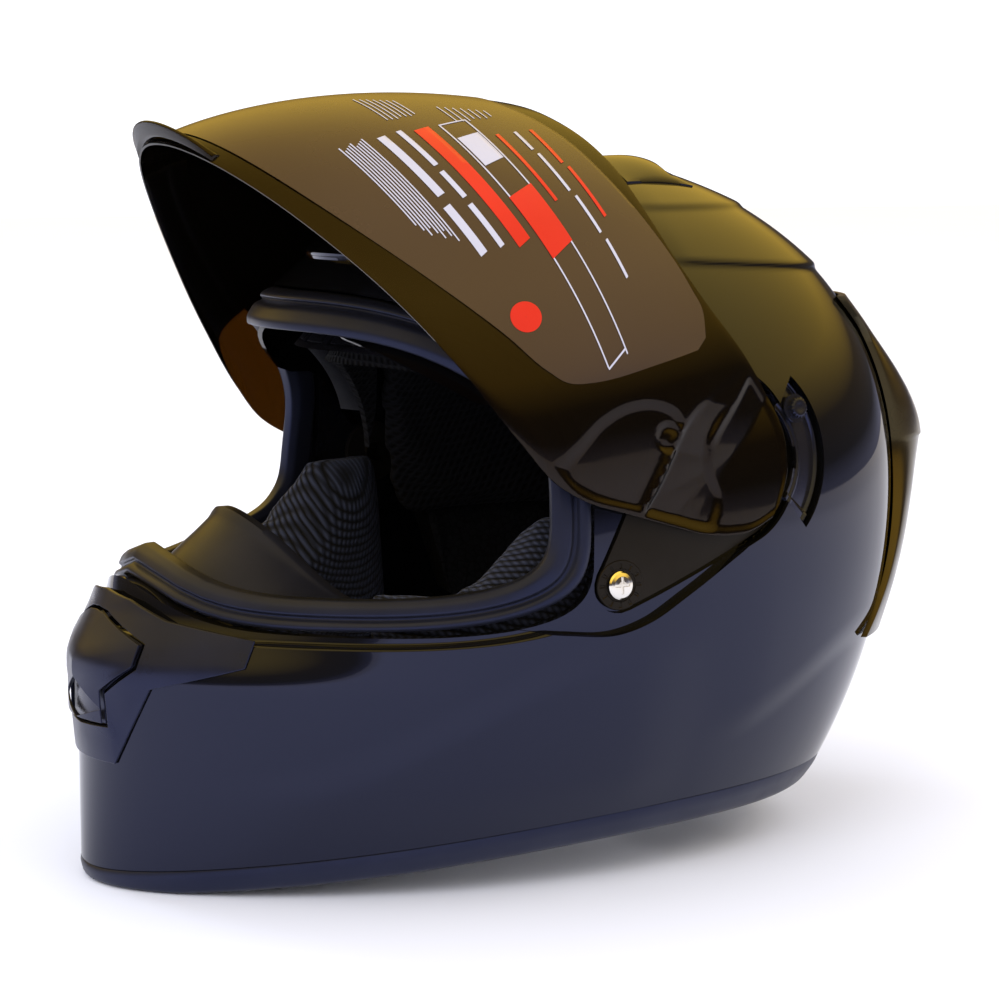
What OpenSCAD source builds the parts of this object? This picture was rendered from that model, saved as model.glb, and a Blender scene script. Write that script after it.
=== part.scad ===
// Full-face motorcycle helmet with a hinged visor, a drop-down inner sun shield,
// energy-absorbing foam, removable comfort parts and a double-ring chin strap.
// Millimetres. Up is +Z, the face opening looks towards -Y, the wearer's left is +X.
// The lowest edge of the trim stands on the plane z = 0.

/* [Shell] */
// Height of the crown above the resting plane
crown_height = 264; // [240:1:290]
// Half width of the shell at its widest
half_width = 121.5; // [105:0.5:140]
// Reach of the shell forwards from its centre line
front_reach = 174.5; // [150:1:200]
// Reach of the shell backwards from its centre line
rear_reach = 154; // [130:1:180]
// Centre of the plan sections along Y
plan_centre = 5; // [0:0.5:12]
// Shell wall thickness
shell_wall = 4.5; // [3:0.5:7]
// Lower edge of the painted shell at the chin
seam_front = 6.5; // [4:0.5:14]
// How far the lower edge climbs towards the back
seam_rise = 24.5; // [10:0.5:40]

/* [Eye port] */
// Half of the port angle seen from above
port_angle = 75; // [65:0.5:85]
// Height of the rear corner of the port
port_level = 143; // [130:1:160]
// Height of the port above that corner
port_up = 70; // [55:1:85]
// Depth of the port below that corner
port_down = 46.5; // [35:0.5:60]
// Depth of the seat that the visor closes onto
seat_depth = 3; // [1:0.5:5]

/* [Visor] */
// Pivot position along Y
pivot_y = 30; // [0:1:50]
// Pivot height
pivot_z = 155; // [140:1:170]
// Angle the visor is raised by
visor_raise = 46; // [0:1:50]
// Visor thickness
visor_wall = 2.2; // [1.5:0.1:3]
// Radius of the turning spigots
spigot_r = 12; // [8:0.5:16]
// Radial clearance of running fits
run_gap = 0.05; // [0.02:0.01:0.1]

/* [Sun shield] */
// Shield pivot height
shield_z = 136; // [120:1:150]
// Shield pivot position along Y
shield_y = 0; // [-10:1:20]
// Radius of the shield on the centre line
shield_r = 109; // [95:1:125]
// Half width of the shield surface at its pivots
shield_half = 104; // [95:0.5:110]

/* [Comfort parts] */
// Thickness of the crown foam
foam_wall = 18; // [10:1:35]
// Cheek pad bulge
cheek_bulge = 25; // [10:1:35]

/* [Strap] */
// Webbing width
web_w = 24; // [18:1:30]
// Webbing thickness
web_t = 2; // [1.2:0.1:3]

/* [Hidden] */
$fn = 64;
// turning point heights of the three side profiles
front_z0 = 95;
rear_z0 = 139.5;
side_z0 = 114;
lever_y = 42;
lever_z = 154;
lever_r = 29;
lever_angle = 33;
screw_y = -16.5;
screw_z = 113;
// angles of the shell columns: close together near the corners of the port
n_port = 32;
n_back = 36;
function port_cols() = [for (i = [-n_port / 2:n_port / 2])
    let(s = abs(i) / (n_port / 2)) sign(i) * port_angle * (1 - pow(1 - s, 1.25))];
function back_cols() = [for (i = [1:n_back - 1])
    port_angle + (360 - 2 * port_angle) * i / n_back];

// ---- surface ----
function clamp(x, a, b) = min(b, max(a, x));
function ease(x) = let(t = clamp(x, 0, 1)) t * t * (3 - 2 * t);
function prof(z, z0, x, k, p, top) = z >= z0
    ? x * pow(max(0, 1 - pow(min(1, (z - z0) / (top - z0)), p)), 1 / p)
    : x * (1 - k * pow((z0 - z) / z0, 2));
function rad(t, z, o) =
    let(top = crown_height - o,
        c = cos(t), s = sin(t),
        f = prof(z, front_z0, front_reach - o, -0.01, 1.47, top),
        r = prof(z, rear_z0, rear_reach - o, 0.292, 2.11, top),
        w = max(0.001, prof(z, side_z0, half_width - o, 0.261, 2.15, top)),
        g = c * (1.5 - 0.5 * c * c),
        l = max(0.001, (f + r) / 2 + (f - r) / 2 * g),
        q = 1 / sqrt(s * s / w / w + c * c / l / l),
        a = c / l * q)
    q * (1 + 4 * a * a * (1 - a * a) * (0.006 - 0.0721 * a));
// point lying o below the plain outer surface, at plan angle t and height z
function sp0(t, z, o) = let(r = rad(t, z, o)) [r * sin(t), plan_centre - r * cos(t), z];
// the chin bar falls back towards the port
function chin_in(t, z) = 7.5 * ease((z - 76) / 26) * ease((150 - z) / 30) * exp(-pow(tt(t) / 26, 2));
function sp(t, z, o) = sp0(t, z, o + chin_in(t, z));
function xfix(x, y, z, o, n) = n == 0 ? x
    : let(r = rad(atan2(x, plan_centre - y), z, o))
      xfix(sqrt(max(1, r * r - (y - plan_centre) * (y - plan_centre))), y, z, o, n - 1);
// half width of the surface at a side-view position
function xs(y, z, o) = xfix(110, y, z, o, 7);
function climb(t) = let(s = (1 - cos(t)) / 2) (sqrt(s + 0.003) - 0.055) * (1.72 - 0.78 * s);
function seam(t) = seam_front + seam_rise * climb(t);
function foot(t) = 21.5 * max(0, climb(t) - 0.11);
function port_lo(t) = let(q = min(1, abs(t) / port_angle))
    port_level - port_down * pow(1 - pow(q, 6), 1 / 6) + 14 * exp(-pow(t / 13, 2));
function port_hi(t) = let(q = min(1, abs(t) / port_angle))
    port_level + port_up * pow(1 - pow(q, 2.6), 1 / 2.6);

// ---- recesses of the shell ----
// signed distance to the tapered side recess
function side_rec(y, z, r1, r2) =
    let(dy = screw_y - pivot_y, dz = screw_z - pivot_z,
        t = clamp(((y - pivot_y) * dy + (z - pivot_z) * dz) / (dy * dy + dz * dz), 0, 1))
    norm([y - pivot_y - t * dy, z - pivot_z - t * dz]) - (r1 + (r2 - r1) * t);
function pocket_rec(y, z) =
    let(r = norm([y - lever_y, z - lever_z]), a = atan2(z - lever_z, y - lever_y))
    max(abs(r - lever_r + 1) - 7.5, (abs(a) - 50) * 0.4);
function tt(t) = t > 180 ? t - 360 : t;
function band(t, z) = let(a = abs(tt(t)) / (port_angle + 4),
        h = z > port_level ? (z - port_level) / (port_up + 11)
            : (port_level - z) / (port_down + 3))
    (pow(pow(a, 5) + pow(h, 5), 0.2) - 1) * 60;
function seat(t, z) = ease(0.5 - band(t, z) / 4) * seat_depth;
function back_step(t, z) =
    let(p = sp(t, z, 0), y = p[1],
        b = side_rec(y, z, 34.5, 12),
        c = p[0] > 0 ? pocket_rec(y, z) - 2 : 99)
    abs(p[0]) < 60 ? seat(t, z) : max(seat(t, z), ease(0.5 - min(b, c) / 5) * 5);

// ---- solids from point grids ----
// two grids of columns (outer and inner), closed round their edges
module slab(a, b, wrap = false, cap = false) {
    n = len(a);
    m = len(a[0]);
    k = n * m;
    last = wrap ? n - 1 : n - 2;
    pts = concat([for (c = a) for (p = c) p], [for (c = b) for (p = c) p]);
    faces = concat(
        [for (i = [0:last]) for (j = [0:m - 2]) let(u = i * m + j, v = (i + 1) % n * m + j)
            each [[u, u + 1, v + 1], [u, v + 1, v],
                  [k + u, k + v + 1, k + u + 1], [k + u, k + v, k + v + 1]]],
        [for (i = [0:last]) let(u = i * m, v = (i + 1) % n * m)
            each [[u, v, k + v], [u, k + v, k + u]]],
        cap ? [[for (i = [n - 1:-1:0]) i * m + m - 1], [for (i = [0:n - 1]) k + i * m + m - 1]]
            : [for (i = [0:last]) let(u = i * m + m - 1, v = (i + 1) % n * m + m - 1)
                each [[u, k + v, v], [u, k + u, k + v]]],
        wrap ? [] : [for (j = [0:m - 2])
            each [[j, k + j + 1, j + 1], [j, k + j, k + j + 1],
                  [k - m + j, k - m + j + 1, 2 * k - m + j + 1],
                  [k - m + j, 2 * k - m + j + 1, 2 * k - m + j]]]);
    polyhedron(points = pts, faces = faces, convexity = 10);
}

// sections joined one after another; a ring when wrap is set
module loft(s, wrap = false) {
    n = len(s);
    m = len(s[0]);
    last = wrap ? n - 1 : n - 2;
    pts = [for (c = s) for (p = c) p];
    faces = concat(
        [for (i = [0:last]) for (j = [0:m - 1])
            let(u = i * m + j, w = i * m + (j + 1) % m,
                v = (i + 1) % n * m + j, x = (i + 1) % n * m + (j + 1) % m)
            each [[u, w, x], [u, x, v]]],
        wrap ? [] : concat([for (j = [1:m - 2]) [0, j + 1, j]],
            [for (j = [1:m - 2]) let(e = (n - 1) * m) [e, e + j, e + j + 1]]));
    polyhedron(points = pts, faces = faces, convexity = 10);
}

// cylinder running along X from x0 to x1 at a side-view position
module bar_x(x0, x1, r, y, z) {
    translate([x0, y, z])
    rotate([0, 90, 0])
    cylinder(h = x1 - x0, r = r);
}

// ---- shell ----
m_lo = 6;
m_hi = 11;
function shell_col(t, o, port, inner) =
    let(zl = port ? port_lo(t) : port_level,
        zh = port ? port_hi(t) : port_level,
        z0 = seam(t))
    concat(
        [for (j = [0:m_lo]) let(z = z0 + (zl - z0) * j / m_lo) 
            sp(t, z, o + (inner ? back_step(t, z) : seat(t, z)))],
        [for (j = [0:m_hi]) let(f = sin(89.2 * j / m_hi), z = zh + (crown_height - o - zh) * f)
            sp(t, z, o + (inner ? back_step(t, z) : seat(t, z)) * (1 - pow(f, 8)))]);

module shell_body() {
    cols = concat([for (t = port_cols()) [t, 1]], [for (t = back_cols()) [t, 0]]);
    n = len(cols);
    np = n_port;
    m = m_lo + m_hi + 2;
    a = [for (c = cols) each shell_col(c[0], 0, c[1] == 1, false)];
    b = [for (c = cols) each shell_col(c[0], shell_wall, c[1] == 1, true)];
    k = n * m;
    // the port corner and all rear columns share one point where the two runs meet
    function id(i, j) = let(q = i % n)
        q * m + (j == m_lo + 1 && (q == 0 || q >= np) ? m_lo : j);
    rows = concat([for (j = [0:m_lo - 1]) j], [for (j = [m_lo + 1:m - 2]) j]);
    faces = concat(
        [for (i = [0:n - 1]) for (j = rows)
            let(u = id(i, j), u1 = id(i, j + 1), v = id(i + 1, j), v1 = id(i + 1, j + 1))
            each [[u, u1, v1], [u, v1, v], [k + u, k + v1, k + u1], [k + u, k + v, k + v1]]],
        [for (i = [0:n - 1]) let(u = id(i, 0), v = id(i + 1, 0))
            each [[u, v, k + v], [u, k + v, k + u]]],
        [for (i = [0:np - 1]) let(u = id(i, m_lo), v = id(i + 1, m_lo))
            each [[u, k + v, v], [u, k + u, k + v]]],
        [for (i = [0:np - 1]) let(u = id(i, m_lo + 1), v = id(i + 1, m_lo + 1))
            each [[u, v, k + v], [u, k + v, k + u]]],
        [[for (i = [n - 1:-1:0]) i * m + m - 1], [for (i = [0:n - 1]) k + i * m + m - 1]]);
    polyhedron(points = concat(a, b), faces = faces, convexity = 10);
}

module shell() {
    color("black")
    resize([0, 0, 0])
    difference() {
        shell_body();
        side_cut();
        mirror([1, 0, 0])
        side_cut();
        slab(pocket_grid(-4, 36.2, 5.2, 50), pocket_grid(4.6, 36.2, 5.2, 50));
    }
}

// what is taken out of the shell for the plate and for the turning socket
module side_cut() {
    cols = [for (i = [0:16]) 56 + 61 * (1 - pow(1 - i / 16, 1.3))];
    function col(t, o) = let(a = lookup(t, vis_lo) - 2.5,
            b = lookup(t, vis_hi) + 3.5 + 3.5 * ease((t - 66) / 8) * ease((104 - t) / 8))
        [for (j = [0:8]) sp(t, a + (b - a) * j / 8, o)];
    slab([for (t = cols) col(t, -5)], [for (t = cols) col(t, 3.5)]);
    slab(plate_grid(-5, 4, 32.5, 10), plate_grid(5.2, 4, 32.5, 10), wrap = true);
    bar_x(95, 140, spigot_r + 1.9, pivot_y, pivot_z);
}

// ---- foam ----
function foam_out(t) = 5.8 + 12.2 * ease((140 - abs(tt(t))) / 13);
function foam_low(t) = let(a = abs(tt(t)))
    70 + 137 * ease((107 - a) / 24) - 22 * ease((107 - a) / 24) * ease((a - 40) / 40);
// columns that settle on one common depth at the crown
function dome_col(t, z0, o, crown, m) = [for (j = [0:m])
    let(d = o + (crown - o) * pow(j / m, 3), top = crown_height - d)
    sp(t, j == m ? top - 0.06 : z0 + (top - z0) * sin(88.5 * j / m), d)];
function ring_cols(n) = [for (i = [0:n - 1]) -180 + 360 * i / n];

module eps_liner() {
    color("dimgray")
    slab([for (t = ring_cols(52)) dome_col(t, foam_low(t), foam_out(t), 18, 8)],
        [for (t = ring_cols(52))
            dome_col(t, foam_low(t), foam_out(t) * 0.2 + 14.4 + foam_wall, 18 + foam_wall, 8)],
        wrap = true, cap = true);
}

module chin_foam() {
    ang = [for (i = [-10:10]) i * 6.2];
    color("dimgray")
    slab([for (t = ang) [for (j = [0:4]) sp(t, 26 + 15 * j, 6)]],
        [for (t = ang) [for (j = [0:4]) 
            sp(t, 26 + 15 * j, 24 - 1.5 * abs(j - 2) - 6.5 * ease((abs(t) - 20) / 12))]]);
}

// ---- comfort parts ----
function pad_low(t) = let(a = abs(tt(t))) 108 + 99 * ease((90 - a) / 30);

module crown_pad() {
    base = 16.8 + foam_wall;
    color("black")
    slab([for (t = ring_cols(44)) dome_col(t, pad_low(t), base + 0.5 + foam_out(t) * 0.2, base + 4.1, 6)],
        [for (t = ring_cols(44))
            dome_col(t, pad_low(t), base + foam_out(t) * 0.2 + 9, base + 12.6, 6)],
        wrap = true, cap = true);
}

module brow_band() {
    ang = [for (i = [-9:9]) i * 8];
    function low(t) = port_hi(t) - 23 + 5 * pow(t / 58, 2);
    color("black")
    slab([for (t = ang) [for (j = [0:2]) sp(t, low(t) + 6 * j, 27 - j)]],
        [for (t = ang) [for (j = [0:2]) sp(t, low(t) + 6 * j, 44 - 3 * (2 - j))]]);
}

function cheek_in(u, v) = 20.5 + 5
    + cheek_bulge * (1 - pow(2 * u - 1, 4)) * (1 - pow(2 * v - 1, 4));

function cheek_z(u, v) = 42 + (63 + 26 * ease((54 * u - 12) / 24)) * v;
module cheek_pad() {
    nu = 12;
    nv = 8;
    slab([for (i = [0:nu]) [for (j = [0:nv]) sp(34 + 54 * i / nu, cheek_z(i / nu, j / nv), 19.5)]],
        [for (i = [0:nu]) [for (j = [0:nv])
            sp(34 + 54 * i / nu, cheek_z(i / nu, j / nv), cheek_in(i / nu, j / nv))]]);
}

module cheek_pad_left() {
    color("black")
    cheek_pad();
}

module cheek_pad_right() {
    color("black")
    mirror([1, 0, 0])
    cheek_pad();
}

module neck_roll() {
    color("black")
    loft([for (i = [0:30]) let(t = 66 + 228 * i / 30, c = sp(t, foot(t) + 11, 22.5),
            k = 0.45 + 0.55 * pow(sin(180 * i / 30), 0.35), d = [sin(t), -cos(t), 0])
        [for (j = [0:11]) let(a = 30 * j) c + d * (11.5 * k * cos(a)) + [0, 0, 13 * k * sin(a)]]]);
}

// ---- trims ----
function port_ring(k, o, n) = [for (i = [0:n - 1])
    let(a = 360 * i / n,
        e = 2 / (sin(a) > 0 ? 2.7 : 4.4),
        t = port_angle * sign(cos(a)) * pow(abs(cos(a)), e) * (1 - k / 118),
        h = sin(a) > 0 ? port_up - k : port_down - k,
        z = port_level + h * sign(sin(a)) * pow(abs(sin(a)), e)
            + (sin(a) < 0 ? 14 * exp(-pow(t / 13, 2)) : 0))
    sp(t, z, o)];

module eyeport_gasket() {
    n = 72;
    rails = [port_ring(1.4, 3.2, n), port_ring(3.6, 2.4, n), port_ring(7, 3.6, n),
        port_ring(8, 6, n), port_ring(5.5, 8.2, n), port_ring(1.4, 7.5, n)];
    color("darkslategray")
    loft([for (i = [0:n - 1]) [for (r = rails) r[i]]], wrap = true);
}

module base_trim() {
    n = 72;
    color("darkslategray")
    loft([for (i = [0:n - 1]) let(t = 360 * i / n, z1 = seam(t) - 0.3, z0 = foot(t))
        [sp(t, z1, 0.2), sp(t, z1, 5.2), sp(t, z0 + 1.5, 6.4), sp(t, z0, 4.4),
         sp(t, z0, 2.4), sp(t, z0 + 2.5, 0.6)]], wrap = true);
}

// ---- rear spoiler ----
function spoil_half(z) = 26 + 16 * pow(max(0, (150 - z) / 72), 1.6) + 5 * ease((z - 189) / 20);
function spoil(u, z) = 0.8 + 21.5 * pow(sin(180 * u), 0.5)
    * (z > 150 ? ease((209 - z) / 60) : pow(clamp((z - 76) / 74, 0, 1), 1.4) * 0.93 + 0.02);

module rear_spoiler() {
    n = 24;
    zz = [78, 92, 106, 120, 134, 146, 152, 163, 176, 188, 199, 207];
    color("dimgray")
    slab([for (i = [0:n]) let(u = i / n) [for (z = zz)
            sp(180 + (2 * u - 1) * spoil_half(z), z, -2.2 - spoil(u, z))]],
        [for (i = [0:n]) [for (z = zz) sp(180 + (2 * i / n - 1) * spoil_half(z), z, -0.9)]]);
}

// ---- vents ----
function vent_hi(t) = 97 + 11 * ease((13 - abs(t)) / 7);
function vent_lo(t) = 41 + 40 * ease((abs(t) - 5) / 9);

module chin_vent_frame() {
    ang = [for (i = [-10:10]) i * 2.2];
    color("darkslategray")
    slab([for (t = ang) [for (j = [0:6]) let(z = vent_lo(t) + (vent_hi(t) - vent_lo(t)) * j / 6)
            sp(t, z, -3.2 + 2.2 * pow(t / 22, 2))]],
        [for (t = ang) [for (j = [0:6]) let(z = vent_lo(t) + (vent_hi(t) - vent_lo(t)) * j / 6)
            sp(t, z, -0.6)]]);
}

module chin_vent_slider() {
    ang = [for (i = [-6:6]) i * 1.6];
    function hi(t) = 95 - 5 * abs(t) / 9.6;
    function lo(t) = 53 + 22 * ease((abs(t) - 2) / 7);
    color("darkslategray")
    slab([for (t = ang) [for (j = [0:5]) let(z = lo(t) + (hi(t) - lo(t)) * j / 5)
            sp(t, z, -9.4 + 2.4 * pow(t / 9.6, 2) + 1.6 * abs(j / 2.5 - 1))]],
        [for (t = ang) [for (j = [0:5]) sp(t, lo(t) + (hi(t) - lo(t)) * j / 5, -4.4)]]);
}

// height of the surface above a plan position, found by halving
function zfind(t, r, o, lo, hi, n) = n == 0 ? (lo + hi) / 2
    : let(m = (lo + hi) / 2) rad(t, m, o) > r ? zfind(t, r, o, m, hi, n - 1)
        : zfind(t, r, o, lo, m, n - 1);
function on_top(x, y, o) =
    [x, y, zfind(atan2(x, plan_centre - y), norm([x, y - plan_centre]), o, 140, crown_height - o, 14)];

module crown_vent() {
    function lift(i, j) = 1.2 + 2.6 * sin(36 * j) * sqrt(max(0, 1 - pow(i / 4, 2)));
    module scoop() {
        slab([for (i = [-4:4]) [for (j = [0:5]) on_top(42 + 3 * i - 1.6 * j, 26 + 7 * j, -lift(i, j))]],
            [for (i = [-4:4]) [for (j = [0:5]) on_top(42 + 3 * i - 1.6 * j, 26 + 7 * j, -0.5)]]);
    }
    color("black")
    union() {
        scoop();
        mirror([1, 0, 0])
        scoop();
    }
}

module breath_guard() {
    ang = [for (i = [-9:9]) i * 3.2];
    function top(t) = 103 + 30 * pow(max(0, cos(t * 3.1)), 1.3);
    color("black")
    slab([for (t = ang) [for (j = [0:4]) sp(t, 96 + (top(t) - 96) * j / 4, 14 + 1.1 * j)]],
        [for (t = ang) [for (j = [0:4]) sp(t, 96 + (top(t) - 96) * j / 4, 16.4 + 1.1 * j)]]);
}

// ---- visor mechanism ----
// edge of the tapered plate seen from the pivot
function reach(f, r1, r2) = max([for (i = [0:10]) let(t = i / 10,
        cy = (screw_y - pivot_y) * t, cz = (screw_z - pivot_z) * t, r = r1 + (r2 - r1) * t,
        al = cy * cos(f) + cz * sin(f), ac = cz * cos(f) - cy * sin(f))
    r > abs(ac) ? al + sqrt(r * r - ac * ac) : 0]);

// ring-shaped grid round the pivot, reaching out to the tapered plate's edge
function plate_grid(o, m, r1, r2) = let(n = 36, r0 = spigot_r + (m == 4 ? 1.6 : 1.9))
    [for (i = [0:n - 1]) [for (j = [0:m])
        let(f = -360 * i / n, r = r0 + (reach(f, r1, r2) - r0) * j / m,
            y = pivot_y + r * cos(f), z = pivot_z + r * sin(f)) [xs(y, z, o), y, z]]];

module base_plate() {
    slab(plate_grid(3.5, 3, 31, 8.2), plate_grid(4.7, 3, 31, 8.2), wrap = true);
}

module base_plate_left() {
    color("dimgray")
    base_plate();
}

module base_plate_right() {
    color("dimgray")
    mirror([1, 0, 0])
    base_plate();
}

module pivot_socket() {
    translate([104, pivot_y, pivot_z])
    rotate([0, 90, 0])
    difference() {
        cylinder(h = 7, r = spigot_r + 1.5);
        translate([0, 0, 2])
        cylinder(h = 9, r = spigot_r + run_gap);
    }
}

module pivot_sockets() {
    color("gray")
    union() {
        pivot_socket();
        mirror([1, 0, 0])
        pivot_socket();
    }
}

module plate_screw() {
    translate([xs(screw_y, screw_z, 3.4) + 0.2, screw_y, screw_z])
    rotate([0, 90 - 4, 0])
    difference() {
        rotate_extrude()
        polygon([[0, 0], [5, 0], [5, 0.3], [4.4, 0.8], [3.2, 1.15], [1.6, 1.35], [0, 1.4]]);
        translate([-0.5, -3, 0.9])
        cube([1, 6, 2]);
        translate([-3, -0.5, 0.9])
        cube([6, 1, 2]);
    }
}

module base_plate_screws() {
    color("silver")
    union() {
        plate_screw();
        mirror([1, 0, 0])
        plate_screw();
    }
}

// ---- visor ----
vis_lo = [[0, 110], [24, 110.5], [39, 108.5], [56, 104], [70, 99.5], [79, 98.5], [85, 102],
    [92, 110], [100, 119.5], [106, 127], [110, 134], [113.5, 143], [115.5, 152]];
vis_hi = [[0, 222], [20, 221], [40, 215.5], [50, 209.5], [62, 199.5], [70, 193.5], [79, 189.5],
    [96, 186.5], [103, 184], [108, 180.5], [112, 174], [114.5, 166], [115.5, 158]];
// surface lifted where the lobe sweeps over the side of the shell
function sweep_x(y, z, o) = max([for (a = [0, 15, 31, 46])
    let(u = y - pivot_y, v = z - pivot_z)
    xs(pivot_y + u * cos(a) + v * sin(a), pivot_z - u * sin(a) + v * cos(a), o)]);
function vp(t, z, o) = let(p = sp0(t, z, o)) abs(t) < 66 ? p
    : [sign(t) * (abs(p[0]) + (sweep_x(p[1], z, o) - abs(p[0])) * ease((abs(t) - 66) / 12)),
       p[1], z];
vis_cols = [for (i = [-22:22]) let(s = abs(i) / 22) sign(i) * 115.5 * (1 - pow(1 - s, 1.25))];
function vcol(t, o, k) = let(a = lookup(abs(t), vis_lo) + k, b = lookup(abs(t), vis_hi) - k)
    [for (j = [0:8]) vp(t, a + (b - a) * j / 8, o)];

module raised() {
    translate([0, pivot_y, pivot_z])
    rotate([-visor_raise, 0, 0])
    translate([0, -pivot_y, -pivot_z])
    children();
}

module visor() {
    color("dimgray", 0.6)
    raised()
    union() {
        slab([for (t = vis_cols) vcol(t, 1.4 - visor_wall, 0)],
            [for (t = vis_cols) vcol(t, 1.4, 0)]);
        visor_lip();
    }
}

// thumb lip standing forward of the lower edge
module visor_lip() {
    ang = [for (i = [-6:6]) i * 1.8];
    function tip(t) = 0.4 + 8.6 * pow(max(0, cos(t * 8.2)), 0.5);
    function row(t, j, d) = sp0(t, 112.4 + 1.1 * j - d, -0.2 - tip(t) * (3 - j) / 3);
    slab([for (t = ang) [for (j = [0:3]) row(t, j, 0)]],
        [for (t = ang) [for (j = [0:3]) row(t, j, 2.3)]]);
}

film_cols = [for (i = [-16:16]) i * 5.25];

module visor_film() {
    function lo(t) = lookup(abs(t), [[0, 121], [26, 120], [45, 122], [58, 124], [66, 124.5],
        [73, 135], [84, 172]]);
    function hi(t) = lookup(abs(t), [[0, 212], [40, 207], [50, 201], [63, 196], [76.5, 187],
        [84, 178]]);
    color("sienna", 0.4)
    raised()
    slab([for (t = film_cols) [for (j = [0:6]) vp(t, lo(t) + (hi(t) - lo(t)) * j / 6, -1.7)]],
        [for (t = film_cols) [for (j = [0:6]) vp(t, lo(t) + (hi(t) - lo(t)) * j / 6, -1.35)]]);
}

module visor_spigot() {
    x1 = min([for (f = [0:45:315]) sweep_x(pivot_y + 12 * cos(f), pivot_z + 12 * sin(f), 1.4)]);
    bar_x(106.5, x1 - 0.3, spigot_r, pivot_y, pivot_z);
}

module visor_spigots() {
    color("gray")
    union() {
        visor_spigot();
        mirror([1, 0, 0])
        visor_spigot();
    }
}

// ---- inner sun shield ----
function shield_pt(s, f, o) = let(r = (shield_r - o) * cos(s))
    [(shield_half - o) * sin(s), shield_y - r * cos(f), shield_z + r * sin(f)];
function shield_lo(s) = let(a = abs(s)) 36 + 7 * exp(-pow(s / 9, 2)) + 13 * ease((a - 52) / 14);
function shield_hi(s) = let(a = abs(s)) 70 - 13 * ease((a - 40) / 26);
shield_cols = [for (i = [-16:16]) i * 5.1];

module sun_shield() {
    color("black", 0.6)
    slab([for (s = shield_cols) [for (j = [0:5])
            shield_pt(s, shield_lo(s) + (shield_hi(s) - shield_lo(s)) * j / 5, 0)]],
        [for (s = shield_cols) [for (j = [0:5])
            shield_pt(s, shield_lo(s) + (shield_hi(s) - shield_lo(s)) * j / 5, 2)]]);
}

module shield_hub() {
    difference() {
        bar_x(102, 104.9, 12.5, shield_y, shield_z);
        bar_x(100, 110, 4 + run_gap, shield_y, shield_z);
    }
}

module sun_shield_hubs() {
    color("gray")
    union() {
        shield_hub();
        mirror([1, 0, 0])
        shield_hub();
    }
}

module sun_shield_pins() {
    color("silver")
    for (s = [0, 1]) {
        mirror([s, 0, 0])
        union() {
            bar_x(100.9, 106, 4, shield_y, shield_z);
            bar_x(106, 108, 7, shield_y, shield_z);
        }
    }
}

// ---- sun shield lever ----
function arc_pt(a, r, o) = let(y = lever_y + r * cos(a), z = lever_z + r * sin(a))
    [xs(y, z, o), y, z];
function pocket_grid(o, r, dr, half) = [for (i = [0:14]) [for (j = [0:3])
    arc_pt(-half + 2 * half * i / 14, r - dr * j, o)]];

module sun_lever_track() {
    color("darkslategray")
    slab(pocket_grid(3.2, 34.6, 4.2, 46), pocket_grid(4.1, 34.6, 4.2, 46));
}

lever_n = let(p = arc_pt(33, lever_r, 0), q = arc_pt(0, lever_r, 0), r = arc_pt(-33, lever_r, 0),
    n = cross(q - r, p - r)) n / norm(n);

// centre of the arc, in the plane of the knob's travel
lever_o = let(p = arc_pt(lever_angle, lever_r, 0), n = lever_n)
    [p[0] - (n[1] * (lever_y - p[1]) + n[2] * (lever_z - p[2])) / n[0], lever_y, lever_z];

// arc-shaped shoe that runs round the arc's centre, with the knob on it
module sun_lever() {
    u = lever_n;
    v = arc_pt(lever_angle, lever_r, 0) - lever_o;
    b = acos(u[2]);
    c = atan2(u[1], u[0]);
    a = atan2(v * [-sin(c), cos(c), 0], v * [cos(b) * cos(c), cos(b) * sin(c), -sin(b)]);
    color("dimgray")
    translate(lever_o - u * 1.9)
    rotate([0, b, c])
    union() {
        rotate([0, 0, a - 11])
        rotate_extrude(angle = 22)
        translate([norm(v) - 3.8, 0])
        square([7.6, 1.2]);
        rotate([0, 0, a])
        translate([norm(v), 0, 1.1])
        cylinder(h = 2.6, r = 3.6);
    }
}

// ---- chin strap ----
function web(pts, y0, t) = [for (i = [0:len(pts) - 1])
    let(p = pts[i], a = pts[max(0, i - 1)], b = pts[min(len(pts) - 1, i + 1)],
        d = (b - a) / norm(b - a), n = [d[1], -d[0]] * t / 2)
    [[p[0] + n[0], y0, p[1] + n[1]], [p[0] - n[0], y0, p[1] - n[1]],
     [p[0] - n[0], y0 + web_w, p[1] - n[1]], [p[0] + n[0], y0 + web_w, p[1] + n[1]]]];
strap_y = 16;

module strap_left() {
    color("black")
    loft(web([[104.5, 66], [103.8, 60], [102.5, 53], [96, 49.5], [86, 48.5], [77, 48],
        [69, 45.5], [64, 40], [62.5, 31]], strap_y, web_t));
}

module strap_right() {
    color("black")
    mirror([1, 0, 0])
    loft(web([[104.5, 66], [103.8, 60], [102.5, 53], [96, 49.5], [86, 48.5], [78, 47], [72, 43], [67, 34],
        [60, 25], [50, 18.5], [37, 14.5], [22, 13], [8, 14], [-6, 17]], strap_y, web_t));
}

module strap_rivets() {
    color("silver")
    for (s = [0, 1]) {
        mirror([s, 0, 0])
        union() {
            translate([100.5, strap_y + 12, 60])
            rotate([0, 90, 0])
            cylinder(h = 1.4, r = 5.5);
        }
    }
}

ring_x = 62.5;
ring_z = 26;

module strap_ring_sleeve() {
    color("black")
    difference() {
        translate([ring_x - 6.5, strap_y + 2.5, ring_z - 4.2])
        cube([13, web_w - 5, 8.4]);
        for (d = [-3.2, 3.2]) {
            translate([ring_x + d, strap_y - 1, ring_z])
            rotate([-90, 0, 0])
            cylinder(h = web_w + 2, r = 1.9 + run_gap);
        }
    }
}

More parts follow.
